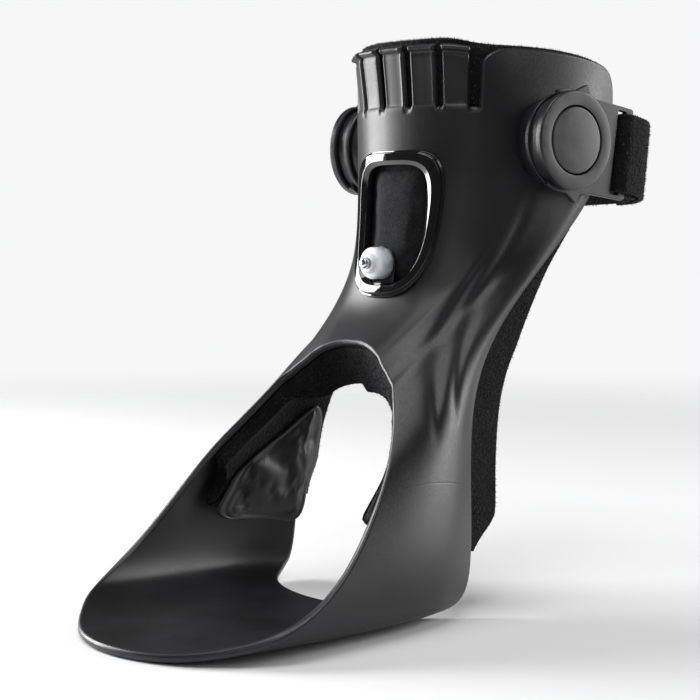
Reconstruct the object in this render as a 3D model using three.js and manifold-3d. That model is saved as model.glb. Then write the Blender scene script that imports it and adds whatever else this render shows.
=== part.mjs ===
import * as THREE from "three";
import { mergeVertices } from "three/addons/utils/BufferGeometryUtils.js";
import Module from "manifold-3d";

// Ankle foot orthosis for a left foot, in millimetres. +Z is up, the toes point to -Y and +X is
// the lateral side. The origin is on the underside of the sole plate, below its middle.

// Driving dimensions.
const wall = 3; // moulded shell thickness
const clearance = 0.4; // air between parts that touch in use
const padThickness = 4; // ankle cushions on top of the liner
const cellThickness = 2.6; // air cell behind the window
const linerTop = 1.8; // liner standing above the finger tips
const linerBridge = 13; // liner hanging below the instep rim
const discY = 121.8; // hinge line of the strap swivels
const discZ = 171.5;
const discSeatX = 45.9; // where a disc's axis meets the wing
const discTurn = 8; // degrees each disc faces forward of square
const discRadius = 18.4; // face ring
const discDepth = 11.8; // wing to face
const hubRadius = 16.6; // neck the strap frame turns on
const strapWidth = 30;
const strapThickness = 1.8;
const strapTilt = 8; // degrees the strap slopes down behind the leg
const frameX = 52.3; // middle plane of the strap frame
const calfBackY = 60; // hinge line to the back of the strap loop
const valveZ = 126;
const valveRadius = 5.2;

// Control net of the shell's outer face, lateral half. Each rib runs from the front rim
// (instep opening) to the rear rim; the ribs go from the middle of the shin, over the wing
// and down the side leg, to the middle of the sole.
const ribs = [
  [[0, 60, 97], [0, 76, 110], [0, 82.5, 138], [0, 83, 168], [0, 83, 184], [0, 80, 207]],
  [[5.5, 60, 97], [9.5, 77, 110.5], [12, 83.5, 138], [13, 84.5, 168], [13, 85, 184], [14, 82, 207]],
  [[11, 58.5, 95.5], [18.5, 79, 112], [23, 88.5, 139], [24.5, 90, 168], [25, 90, 184], [26.5, 87, 207]],
  [[14.5, 57.5, 94], [23, 83, 114.5], [30, 94.5, 140], [32, 95.5, 168], [32.5, 96, 184], [34, 96.5, 205]],
  [[17, 57, 92.5], [27, 86.5, 116], [35.5, 101, 142], [39.5, 106, 168], [40, 107, 184], [38, 113, 206.5]],
  [[18.5, 56, 91], [28.5, 88, 117.5], [40, 107, 143], [44, 121, 168], [44, 125, 184], [43, 131, 206]],
  [[21.5, 55, 88.5], [30.5, 90, 117], [42, 112, 140], [46, 131, 166], [46.5, 138, 181], [46, 151, 203.5]],
  [[24.5, 54, 86.5], [31.5, 91, 115.5], [42.5, 114.5, 136.5], [46.5, 136, 160], [46.5, 146, 174], [45, 163, 199.5]],
  [[27, 53, 84], [32.5, 91, 113], [43, 115, 132], [46, 135.5, 153], [47, 145, 163], [45, 159.5, 172]],
  [[29.5, 51.5, 82.5], [34, 87.5, 109], [42, 111.5, 127], [45.5, 129, 140.5], [46.5, 138, 146.5], [46, 147, 151]],
  [[32.5, 48.5, 78], [35.5, 80, 99.5], [40.5, 99, 113], [43, 113, 123.5], [44, 120.5, 128.5], [44.5, 128, 133]],
  [[36.5, 45, 72.5], [38.5, 69, 88], [40.5, 84, 98.5], [41.5, 94.5, 106], [42, 100, 109.5], [42, 105.5, 112.5]],
  [[40.5, 40, 66], [43, 58.5, 76], [43.5, 71, 83.5], [42.5, 80, 89], [41.5, 85, 91.5], [41, 89.5, 93.5]],
  [[45, 33.5, 58.5], [47.5, 49, 65], [48, 61, 69.5], [46.5, 70.5, 73], [44.5, 76, 74.5], [43.5, 80, 75.5]],
  [[49, 26, 49.5], [50.5, 41, 53.5], [50.5, 53, 55.5], [49, 64, 56.5], [47.5, 71, 57], [46.5, 75.5, 57]],
  [[52.5, 15, 36], [53.5, 31, 37.5], [53.5, 46, 37.5], [52, 61, 37], [49, 70, 36.5], [46.5, 76, 36]],
  [[55, -1, 20], [56, 18, 19.5], [56, 37, 19], [54.5, 55, 18], [50.5, 67, 17], [47.5, 75, 16]],
  [[53, -22, 8], [53.5, 4, 5.5], [54, 27, 4.5], [53.5, 46, 4], [50.5, 59.5, 4], [47, 71, 3.5]],
  [[41, -34, 3], [39, -8, 0.5], [39, 16, 0], [40, 37, 0], [40.5, 48, 0], [39.5, 57, 0]],
  [[25, -47.5, 0], [25, -20, 0], [24.5, 5, 0], [24, 29, 0], [23, 40, 0], [21, 47, 0]],
  [[0, -54, 0], [0, -25, 0], [0, 2, 0], [0, 25, 0], [0, 36, 0], [0, 42.5, 0]],
];
const last = ribs.length - 1;

// Weights of a uniform cubic B-spline, as pairs of control index and weight.
function splineSpan(at) {
  const k = Math.floor(at), f = at - k;
  const weights = [(1 - f) ** 3, 3 * f ** 3 - 6 * f * f + 4, -3 * f ** 3 + 3 * f * f + 3 * f + 1, f ** 3];
  return weights.map((value, n) => [k + n - 1, value / 6]);
}

// One control point. Rows past the shin or the sole mirror; columns past a rim run straight on.
function control(row, column) {
  const rib = ribs[row < 0 ? -row : row > last ? 2 * last - row : row];
  const end = rib.length - 1;
  const at = (n) => new THREE.Vector3(...rib[n]);
  const p = column < 0 ? at(0).multiplyScalar(2).sub(at(1))
    : column > end ? at(end).multiplyScalar(2).sub(at(end - 1)) : at(column);
  if (row < 0 || row > last) p.x *= -1;
  return p;
}

// Outer face before relief: u counts ribs from the shin (negative is medial), v counts columns
// from the front rim (0) to the rear rim (5).
function skin(u, v) {
  const p = new THREE.Vector3();
  for (const [row, a] of splineSpan(Math.abs(u)))
    for (const [column, b] of splineSpan(v)) p.addScaledVector(control(row, column), a * b);
  if (u < 0) p.x *= -1;
  return p;
}

function skinNormal(u, v) {
  const step = 1e-3, m = Math.min(Math.abs(u), last - step), w = THREE.MathUtils.clamp(v, 0, 5 - step);
  const here = skin(m, w);
  const n = skin(m + step, w).sub(here).cross(skin(m, w + step).sub(here)).normalize();
  if (u < 0) n.x *= -1;
  return n;
}

const smooth = (x, from, to) => THREE.MathUtils.smoothstep(x, from, to);
const bump = (x, middle, half) => Math.exp(-(((x - middle) / half) ** 2));

// Height of the moulded relief above the skin.
function relief(u, v) {
  const m = Math.abs(u);
  // Two flutes arch from the wing over the neck and down the side leg, with a ridge between them.
  const fade = smooth(m, 4.7, 6) * (1 - smooth(m, 11.8, 13.6));
  const front = 0.62 + 0.055 * (m - 8.9) ** 2;
  const back = 1.12 + 0.085 * (m - 8.9) ** 2;
  let height = fade * (-1.5 * bump(v, front, 0.17) - 1.1 * bump(v, back, 0.17)
    + 0.5 * bump(v, (front + back) / 2, 0.14));
  // The finger tabs sit a little under the band below them and roll outward at the tip.
  if (m < 2.75) height += -1.0 * smooth(v, 3.94, 4.02) + 1.5 * smooth(v, 4.84, 4.9);
  return height;
}

// Point at a given height over the skin; v past a rim continues by that many millimetres.
function over(u, v, height, beyond = 0) {
  const p = skin(u, v).addScaledVector(skinNormal(u, v), height);
  if (beyond) {
    const w = v < 2.5 ? 0 : 5, inward = v < 2.5 ? 0.1 : 4.9;
    p.addScaledVector(skin(u, w).sub(skin(u, inward)).normalize(), beyond);
  }
  return p;
}

// Closed solid between two grids of points. keep(i, j) says which cells are present.
function sheetSolid(rows, columns, topPoint, backPoint, keep = () => true, ring = false) {
  const cells = ring ? rows : rows - 1, position = [], index = [];
  for (const point of [topPoint, backPoint])
    for (let i = 0; i < rows; i++)
      for (let j = 0; j < columns; j++) position.push(...point(i, j).toArray());
  const id = (i, j, side) => (side * rows + (i % rows)) * columns + j;
  const has = (i, j) => j >= 0 && j < columns - 1 && (ring || (i >= 0 && i < cells))
    && keep((i + cells) % cells, j);
  const quad = (a, b, c, d) => index.push(a, b, c, a, c, d);
  for (let i = 0; i < cells; i++)
    for (let j = 0; j < columns - 1; j++) {
      if (!has(i, j)) continue;
      quad(id(i, j, 0), id(i + 1, j, 0), id(i + 1, j + 1, 0), id(i, j + 1, 0));
      quad(id(i, j, 1), id(i, j + 1, 1), id(i + 1, j + 1, 1), id(i + 1, j, 1));
      if (!has(i, j - 1)) quad(id(i, j, 0), id(i, j, 1), id(i + 1, j, 1), id(i + 1, j, 0));
      if (!has(i, j + 1)) quad(id(i, j + 1, 0), id(i + 1, j + 1, 0), id(i + 1, j + 1, 1), id(i, j + 1, 1));
      if (!has(i - 1, j)) quad(id(i, j, 0), id(i, j + 1, 0), id(i, j + 1, 1), id(i, j, 1));
      if (!has(i + 1, j)) quad(id(i + 1, j, 0), id(i + 1, j, 1), id(i + 1, j + 1, 1), id(i + 1, j + 1, 0));
    }
  const geometry = new THREE.BufferGeometry();
  geometry.setAttribute("position", new THREE.Float32BufferAttribute(position, 3));
  geometry.setIndex(index);
  return geometry;
}

// Splits each gap between neighbouring stops into equal steps no longer than size.
function stations(stops, size) {
  const out = [stops[0]];
  for (let n = 1; n < stops.length; n++) {
    const gap = stops[n] - stops[n - 1], steps = Math.max(1, Math.round(gap / size));
    for (let k = 1; k <= steps; k++) out.push(stops[n - 1] + (gap * k) / steps);
  }
  return out;
}

const wasm = await Module();
wasm.setup();

function toSolid(geometry) {
  const bare = geometry.clone();
  bare.deleteAttribute("normal");
  bare.deleteAttribute("uv");
  const merged = mergeVertices(bare, 1e-4);
  return new wasm.Manifold(new wasm.Mesh({
    numProp: 3,
    vertProperties: new Float32Array(merged.attributes.position.array),
    triVerts: new Uint32Array(merged.index.array),
  }));
}

function toGeometry(solid) {
  const data = solid.getMesh(), geometry = new THREE.BufferGeometry();
  geometry.setAttribute("position", new THREE.BufferAttribute(new Float32Array(data.vertProperties), 3));
  geometry.setIndex(new THREE.BufferAttribute(new Uint32Array(data.triVerts), 1));
  return geometry;
}

const paint = (color, roughness, metalness = 0) =>
  new THREE.MeshStandardMaterial({ color, roughness, metalness });
const root = new THREE.Group();

function add(name, geometry, material, parent = root) {
  const mesh = new THREE.Mesh(geometry, material);
  mesh.name = name;
  parent.add(mesh);
  return mesh;
}

// Shell: one moulding with a window and slots between the finger tabs.
const slotEdges = [0.42, 0.59, 1.44, 1.61, 2.54, 2.9];
const halfRows = stations([0, ...slotEdges, 7, 15, 20], 0.56);
const shellRows = [...halfRows.slice(1, -1).map((u) => -u).reverse(), ...halfRows];
const windowRow = slotEdges[2], windowLow = 1.2, windowHigh = 2.93, fingerBase = 3.95;
const shellColumns = stations([0, windowLow, windowHigh, fingerBase, 4.02, 4.84, 4.9, 5], 0.27);

function isShell(i, j) {
  const u = i < shellRows.length - 1 ? Math.abs(shellRows[i] + shellRows[i + 1]) / 2 : last;
  const v = (shellColumns[j] + shellColumns[j + 1]) / 2;
  if (u < windowRow && v > windowLow && v < windowHigh) return false;
  return !(v > fingerBase && slotEdges.some((edge, n) => n % 2 === 0 && u > edge && u < slotEdges[n + 1]));
}

const shellSheet = (outer, inner, keep) => sheetSolid(shellRows.length, shellColumns.length,
  (i, j) => over(shellRows[i], shellColumns[j], outer + relief(shellRows[i], shellColumns[j])),
  (i, j) => over(shellRows[i], shellColumns[j], inner), keep, true);
const satinBlack = paint("#2b2b2d", 0.42);
add("shell", shellSheet(0, -wall, isShell), satinBlack);

// Window: a glossy frame ring, and the air cell's panel showing through it.
const windowMiddle = 2.07;
const rowMm = 11.3, columnMm = 26; // local size of one row and one column at the window
const bezelSection = [[0, 0.3], [0.2, 1.3], [1.2, 2.1], [4.2, 2.2], [5.4, 1.6], [6.1, 0.6], [6.2, -1.8],
  [5.4, -1.8], [5.3, 0.3]];
const bezelRing = (angle, inset) => {
  const c = Math.cos(angle), s = Math.sin(angle), power = s > 0 ? 4 : 3.4;
  return [(1.86 - inset / rowMm) * Math.sign(c) * Math.abs(c) ** (2 / power),
    windowMiddle + (1.05 - inset / columnMm) * Math.sign(s) * Math.abs(s) ** (2 / power)];
};

// Ring of closed sections, as a frame or a bead.
function loopSolid(rows, columns, point) {
  const position = [], index = [];
  for (let i = 0; i < rows; i++) for (let j = 0; j < columns; j++) position.push(...point(i, j).toArray());
  const id = (i, j) => (i % rows) * columns + (j % columns);
  for (let i = 0; i < rows; i++)
    for (let j = 0; j < columns; j++)
      index.push(id(i, j), id(i + 1, j), id(i + 1, j + 1), id(i, j), id(i + 1, j + 1), id(i, j + 1));
  const geometry = new THREE.BufferGeometry();
  geometry.setAttribute("position", new THREE.Float32BufferAttribute(position, 3));
  geometry.setIndex(index);
  return geometry;
}

const bezelSteps = 40;
add("window_bezel", loopSolid(bezelSteps, bezelSection.length, (i, j) => {
  const t = (i / bezelSteps) * 2 * Math.PI, [inset, height] = bezelSection[j];
  const [u, v] = bezelRing(t - 0.35 * Math.sin(4 * t) * 0.5, inset);
  return over(u, v, height);
}), paint("#0c0c0d", 0.08));

const cellFront = wall + clearance;
const cellRows = stations([-1.72, 1.72], 0.36), cellColumns = stations([1.02, 3.08], 0.24);
add("air_cell", sheetSolid(cellRows.length, cellColumns.length, (i, j) => {
  const u = cellRows[i], v = cellColumns[j];
  const swell = Math.max(0, 1 - (u / 1.22) ** 4) * Math.max(0, 1 - ((v - windowMiddle) / 0.74) ** 4);
  return over(u, v, -cellFront + 2.6 * Math.sqrt(swell));
}, (i, j) => over(cellRows[i], cellColumns[j], -cellFront - cellThickness)), paint("#1a1a1b", 0.95));

// Air valve: base plate with a pull tab, soft stub and a spring-loaded pin.
const valveFace = 78.6; // Y of the cell's front behind the valve
const alongY = (geometry, y) => geometry.rotateX(Math.PI / 2).translate(0, y, valveZ);
const lathe = (profile, sides) => new THREE.LatheGeometry(profile.map((p) => new THREE.Vector2(...p)), sides)
  .rotateX(Math.PI / 2);

const tab = new THREE.Shape();
tab.moveTo(6.4, 0);
tab.absarc(0, 0, 6.4, 0, Math.PI, false);
tab.lineTo(-5.2, -5.4);
tab.quadraticCurveTo(-5, -7.4, -3, -7.4);
tab.lineTo(3, -7.4);
tab.quadraticCurveTo(5, -7.4, 5.2, -5.4);
tab.lineTo(6.4, 0);
add("valve_base", alongY(new THREE.ExtrudeGeometry(tab, { depth: 1.3, bevelEnabled: false, curveSegments: 8 }),
  valveFace), paint("#101011", 0.3));
const stubBack = valveFace - 1.6;
add("valve_body", alongY(lathe([[0, 0], [6, 0], [6.1, 1.4], [valveRadius, 2], [valveRadius, 6.6],
  [4.6, 7.8], [3.6, 8.2], [2.1, 8.2], [2.1, 3.2], [0, 3.2]], 24), stubBack), paint("#eef0f2", 0.35));
add("valve_pin", alongY(lathe([[0, 5], [1.5, 5], [1.5, 8.8], [1.9, 9], [1.7, 10], [1, 10.6], [0, 10.8]], 16),
  stubBack), paint("#c9ccd0", 0.12, 1));

// Liner and ankle cushions. The lateral side hangs lower and reaches further back.
const linerBack = -cellFront - cellThickness - clearance - 2.2;
const linerFront = (u, v) => -cellFront - (cellThickness + clearance)
  * (1 - smooth(Math.abs(u), 1.8, 2.5)) * smooth(v, 0.55, 0.95) * (1 - smooth(v, 3.15, 3.6));
const linerEnd = (u) => (u > 0 ? 15.7 : 15.1);
const linerRows = stations([-linerEnd(-1), -13, -8, -2.5, -1.8, 1.8, 2.5, 8, 10, 13, linerEnd(1)], 0.7);
const linerColumns = [-1, 0, 0.1, 0.19, 0.26, 0.34, 0.44, 0.53, 0.625, 0.73, 0.87, 1, 2]; // -1 and 2 are the free edges

// Where the liner's front edge runs: a column of the skin, and millimetres past the rim.
const frontColumn = (u) => (u > 0 ? 1.5 * smooth(u, 14.3, 15.5) : 1.1 * smooth(-u, 13.2, 14.8));
const frontHang = (u) => linerBridge * (u > 0 ? 1 : 0.75) * (1 - smooth(Math.abs(u), 4.5, 10.5));
function rearReach(u) {
  const m = Math.abs(u), end = 1 - 0.6 * smooth(m, linerEnd(u) - 0.8, linerEnd(u));
  if (u < 0) return (linerTop + 5.5 * smooth(m, 11.4, 12.8)) * end;
  return (linerTop + 7 * smooth(m, 7.8, 10) + 10.5 * smooth(m, 9.8, 12)) * end;
}

// The way the free rear edge runs on: along the shell at the cuff, straight back beside the ankle.
function rearWay(u, v) {
  const along = over(u, v, 0, 1).sub(over(u, v, 0));
  return along.lerp(new THREE.Vector3(0, 0.99, -0.14), smooth(Math.abs(u), 8.5, 11.5)).normalize();
}

function linerPoint(u, t, front) {
  const from = frontColumn(u), v = from + (5 - from) * THREE.MathUtils.clamp(t, 0, 1);
  const p = over(u, v, front ? linerFront(u, v) : linerBack);
  if (t > 1) p.addScaledVector(rearWay(u, v), rearReach(u));
  if (t < 0) p.add(new THREE.Vector3(0, 0.3, -0.95).multiplyScalar(frontHang(u) + 0.8));
  return p;
}
add("liner", sheetSolid(linerRows.length, linerColumns.length,
  (i, j) => linerPoint(linerRows[i], linerColumns[j], true),
  (i, j) => linerPoint(linerRows[i], linerColumns[j], false)), paint("#151516", 0.98));

// A cushion lies on the liner's inner face behind each ankle bone: a pillow with round corners.
function pillowPoint(side, s, t, front) {
  const round = (1 - Math.abs(t) ** 4) ** 0.25, a = 0.5 + 0.5 * s * round;
  const top = 14.3 - 1.3 * a, low = 15.5 + 0.25 * a;
  const u = side * (top + (low - top) * (0.5 + 0.5 * t));
  const from = frontColumn(u) + 0.15, reach = Math.min(rearReach(u), 9) - 1.5;
  const mm = 55 * (1 - from / 5), total = mm + reach, run = a * total;
  const v = from + (5 - from) * Math.min(1, run / mm);
  const dome = Math.sqrt(Math.max(0, 1 - s ** 4) * Math.max(0, 1 - t ** 4));
  const height = linerBack - clearance - 0.3 - (front ? 1 + (padThickness - 1) * dome : 0);
  return over(u, v, height).addScaledVector(rearWay(u, v), Math.max(0, run - mm));
}
const padAcross = stations([-1, 1], 0.2), padDown = stations([-0.985, 0.985], 0.16);
for (const [name, side] of [["lateral_ankle_pad", 1], ["medial_ankle_pad", -1]])
  add(name, sheetSolid(padDown.length, padAcross.length,
    (i, j) => pillowPoint(side, side * padAcross[j], padDown[i], false),
    (i, j) => pillowPoint(side, side * padAcross[j], padDown[i], true)), paint("#1b1b1d", 0.5));

// Strap swivels. Local frame of a disc: +Z out along its axis, +X toward the back, +Y up.

function discFrame(side) {
  const turn = THREE.MathUtils.degToRad(discTurn);
  const out = new THREE.Vector3(side * Math.cos(turn), -Math.sin(turn), 0);
  const back = new THREE.Vector3(side * Math.sin(turn), Math.cos(turn), 0);
  const frame = new THREE.Matrix4().makeBasis(back, new THREE.Vector3(0, 0, 1), out);
  const middle = (frameX - discSeatX) / Math.cos(turn);
  return frame.setPosition(side * discSeatX, discY + middle * Math.sin(turn), discZ);
}
const frameLift = (frameX - discSeatX) / Math.cos(THREE.MathUtils.degToRad(discTurn));

function placed(geometry, side) {
  geometry.applyMatrix4(discFrame(side));
  if (side < 0) {
    const g = geometry.index ? geometry.toNonIndexed() : geometry;
    const p = g.attributes.position.array;
    for (let n = 0; n < p.length; n += 9)
      for (let k = 0; k < 3; k++) [p[n + 3 + k], p[n + 6 + k]] = [p[n + 6 + k], p[n + 3 + k]];
    return g;
  }
  return geometry;
}

const grooveLow = frameLift - 1.9, grooveHigh = frameLift + 1.9;
const drumProfile = [[0, 2.4], [17.4, 2.4], [17.9, 2.9], [17.9, grooveLow], [hubRadius, grooveLow],
  [hubRadius, grooveHigh], [12.6, grooveHigh], [12.6, discDepth - 2.2], [0, discDepth - 2.2]];
const ringProfile = [[12.9, grooveHigh + 0.3], [17.9, grooveHigh + 0.3], [discRadius, grooveHigh + 0.8],
  [discRadius, discDepth - 0.6], [discRadius - 0.6, discDepth], [13.3, discDepth], [12.9, discDepth - 0.5]];
const capProfile = [[0, discDepth - 1.9], [12.4, discDepth - 1.9], [12.4, discDepth - 0.6],
  [11.8, discDepth], [0, discDepth]];
const footProfile = [[0, -2.5], [16.2, -2.5], [16.2, 1.4], [15.6, 2.1], [0, 2.1]];
const closed = (profile) => [...profile, profile[0]];
const satinDisc = paint("#242426", 0.38);

// Strap frame: a C-shaped collar round the disc's groove, two pointed ears and a slotted plate.
const slotNear = 24.4, slotFar = 28.8, slotHalf = strapWidth / 2 + 0.9, plateEnd = 32.6;
function frameShape() {
  const inner = hubRadius + 0.5, arm = 19.3, tip = THREE.MathUtils.degToRad(115);
  const ear = THREE.MathUtils.degToRad(73), shape = new THREE.Shape();
  const on = (radius, angle) => [radius * Math.cos(angle), radius * Math.sin(angle)];
  shape.moveTo(...on(inner, tip));
  shape.absarc(0, 0, inner, tip, -tip, true);
  shape.lineTo(...on(arm, -tip));
  shape.absarc(0, 0, arm, -tip, -ear - 0.22, false);
  shape.lineTo(...on(23.4, -ear));
  shape.lineTo(...on(20.6, -ear + 0.16));
  shape.lineTo(12, -17.9);
  shape.lineTo(plateEnd - 0.8, -17.6);
  shape.lineTo(plateEnd, -16.8);
  shape.lineTo(plateEnd, 16.8);
  shape.lineTo(plateEnd - 0.8, 17.6);
  shape.lineTo(12, 17.9);
  shape.lineTo(...on(20.6, ear - 0.16));
  shape.lineTo(...on(23.4, ear));
  shape.lineTo(...on(arm, ear + 0.22));
  shape.absarc(0, 0, arm, ear + 0.22, tip, false);
  const slot = new THREE.Path();
  slot.moveTo(slotNear, -slotHalf);
  slot.lineTo(slotNear, slotHalf);
  slot.lineTo(slotFar, slotHalf);
  slot.lineTo(slotFar, -slotHalf);
  slot.lineTo(slotNear, -slotHalf);
  shape.holes.push(slot);
  return shape;
}

const shellSkin = toSolid(shellSheet(0.3, -wall, () => true));
for (const [label, side] of [["lateral", 1], ["medial", -1]]) {
  const foot = toSolid(placed(lathe(footProfile, 32), side)).subtract(shellSkin);
  add(`buckle_base_${label}`, toGeometry(foot), satinDisc);
  add(`buckle_drum_${label}`, placed(lathe(drumProfile, 32), side), satinDisc);
  add(`buckle_ring_${label}`, placed(lathe(closed(ringProfile), 32), side), satinDisc);
  add(`buckle_cap_${label}`, placed(lathe(capProfile, 32), side), satinDisc);
  const plate = new THREE.ExtrudeGeometry(frameShape(), { depth: 2.2, bevelEnabled: false, curveSegments: 16 });
  plate.rotateZ(THREE.MathUtils.degToRad(-strapTilt)).translate(0, 0, frameLift - 1.1);
  add(`strap_frame_${label}`, placed(plate, side), satinDisc);
}

// Calf strap: one band round the back of the leg, folded through each frame and back on itself.
const barBack = (slotFar + plateEnd) / 2 * Math.cos(THREE.MathUtils.degToRad(discTurn));
const barX = frameX + barBack * Math.tan(THREE.MathUtils.degToRad(discTurn));
const foldRadius = 3.1;
const foldBack = barBack - 0.5;
const insideRun = [[barX - foldRadius, foldBack], [barX - foldRadius - 0.2, barBack + 4],
  [barX - 4.2, barBack + 9], [49, barBack + 17], [40, barBack + 23.5], [24, calfBackY - 2.4], [9, calfBackY - 0.3]];
const insideCurve = new THREE.SplineCurve([...insideRun, ...insideRun.map(([x, y]) => [-x, y]).reverse()]
  .map((p) => new THREE.Vector2(...p)));
const tailLength = 36;

// The run of the band's middle line: lateral tail, fold, round the calf, fold, medial tail.
function strapRun() {
  const inside = insideCurve.getSpacedPoints(64);
  const lateral = [];
  let length = 0;
  for (let n = 0; n < inside.length && length < tailLength; n++) {
    const step = inside[n + 1].clone().sub(inside[n]);
    const outward = new THREE.Vector2(step.y, -step.x).normalize();
    lateral.push(inside[n].clone().addScaledVector(outward,
      THREE.MathUtils.lerp(2 * foldRadius, 3.9, smooth(length, 6, 22))));
    length += step.length();
  }
  const fold = Array.from({ length: 7 }, (_, n) => ((n + 0.5) / 7) * Math.PI)
    .map((angle) => new THREE.Vector2(barX + foldRadius * Math.cos(angle), foldBack - foldRadius * Math.sin(angle)));
  const half = [...lateral.reverse(), ...fold];
  const other = half.map((p) => new THREE.Vector2(-p.x, p.y)).reverse();
  return [...half, ...inside, ...other];
}

// Outline of a ribbon of even thickness along a run of points.
function ribbonShape(run, thickness) {
  const left = [], right = [];
  run.forEach((p, n) => {
    const dir = run[Math.min(n + 1, run.length - 1)].clone().sub(run[Math.max(n - 1, 0)]).normalize();
    const side = new THREE.Vector2(-dir.y, dir.x).multiplyScalar(thickness / 2);
    left.push(p.clone().add(side));
    right.push(p.clone().sub(side));
  });
  return new THREE.Shape([...left, ...right.reverse()]);
}

function alongStrap(shape, width) {
  const tilt = THREE.MathUtils.degToRad(strapTilt);
  const geometry = new THREE.ExtrudeGeometry(shape, { depth: width, bevelEnabled: false });
  geometry.translate(0, 0, -width / 2);
  const basis = new THREE.Matrix4().makeBasis(new THREE.Vector3(1, 0, 0),
    new THREE.Vector3(0, Math.cos(tilt), -Math.sin(tilt)), new THREE.Vector3(0, Math.sin(tilt), Math.cos(tilt)));
  return geometry.applyMatrix4(basis.setPosition(0, discY, discZ));
}
const run = strapRun();
add("calf_strap", alongStrap(ribbonShape(run, strapThickness), strapWidth), paint("#141415", 0.95));

// Hook tabs hold the folded ends down on the band.
const tabSteps = 5;
const hook = (points) => alongStrap(ribbonShape(points, 1.1), strapWidth - 2);
const between = (n) => {
  const outer = run[n], inner = insideCurve.getSpacedPoints(400)
    .reduce((best, p) => (p.distanceTo(outer) < best.distanceTo(outer) ? p : best));
  return outer.clone().lerp(inner, 0.5);
};
const hookRun = Array.from({ length: tabSteps + 1 }, (_, n) => between(n));
add("hook_tab_lateral", hook(hookRun), paint("#0e0e0f", 0.9));
add("hook_tab_medial", hook(hookRun.map((p) => new THREE.Vector2(-p.x, p.y)).reverse()), paint("#0e0e0f", 0.9));

export default root;
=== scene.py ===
import math

import bmesh
import bpy
import numpy as np
from mathutils import Matrix, Vector


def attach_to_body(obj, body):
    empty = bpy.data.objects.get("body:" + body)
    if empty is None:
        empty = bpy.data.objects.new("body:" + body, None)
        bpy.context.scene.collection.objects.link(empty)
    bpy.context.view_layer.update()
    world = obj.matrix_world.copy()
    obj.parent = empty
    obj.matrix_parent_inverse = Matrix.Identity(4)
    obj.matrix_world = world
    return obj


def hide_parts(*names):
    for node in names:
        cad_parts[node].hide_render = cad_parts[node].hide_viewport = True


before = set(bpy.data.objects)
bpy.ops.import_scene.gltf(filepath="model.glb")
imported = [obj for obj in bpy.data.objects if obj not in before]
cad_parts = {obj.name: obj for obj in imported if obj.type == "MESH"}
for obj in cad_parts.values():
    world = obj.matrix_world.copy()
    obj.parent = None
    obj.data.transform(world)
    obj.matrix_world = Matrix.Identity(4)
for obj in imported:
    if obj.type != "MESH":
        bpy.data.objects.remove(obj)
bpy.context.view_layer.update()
scene = bpy.context.scene
mm = 0.001


# Colour and material helpers.
def toLinear(hexText):
    values = [int(hexText[i:i + 2], 16) / 255 for i in (1, 3, 5)]
    return tuple([v / 12.92 if v <= 0.04045 else ((v + 0.055) / 1.055) ** 2.4 for v in values] + [1.0])


def addNode(tree, kind, inputs=None, **settings):
    node = tree.nodes.new(kind)
    for name, value in settings.items():
        setattr(node, name, value)
    for key, value in (inputs or {}).items():
        if isinstance(value, bpy.types.NodeSocket):
            tree.links.new(value, node.inputs[key])
        else:
            node.inputs[key].default_value = value
    return node


def startMaterial(name, **shader):
    material = bpy.data.materials.new(name)
    material.use_nodes = True
    tree = material.node_tree
    bsdf = tree.nodes["Principled BSDF"]
    for key, value in shader.items():
        bsdf.inputs[key.replace("_", " ")].default_value = value
    place = tree.nodes.new("ShaderNodeTexCoord").outputs["Object"]
    return material, tree, bsdf, place


# Kinds of node and settings that the materials use often.
noiseKind, rangeKind, mixKind = "ShaderNodeTexNoise", "ShaderNodeMapRange", "ShaderNodeMix"
mathKind, bumpKind, mappingKind = "ShaderNodeMath", "ShaderNodeBump", "ShaderNodeMapping"
soft, colour = {"interpolation_type": "SMOOTHSTEP"}, {"data_type": "RGBA"}


def attach(tree, bsdf, **links):
    for key, socket in links.items():
        tree.links.new(socket, bsdf.inputs[key.replace("_", " ")])


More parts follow.
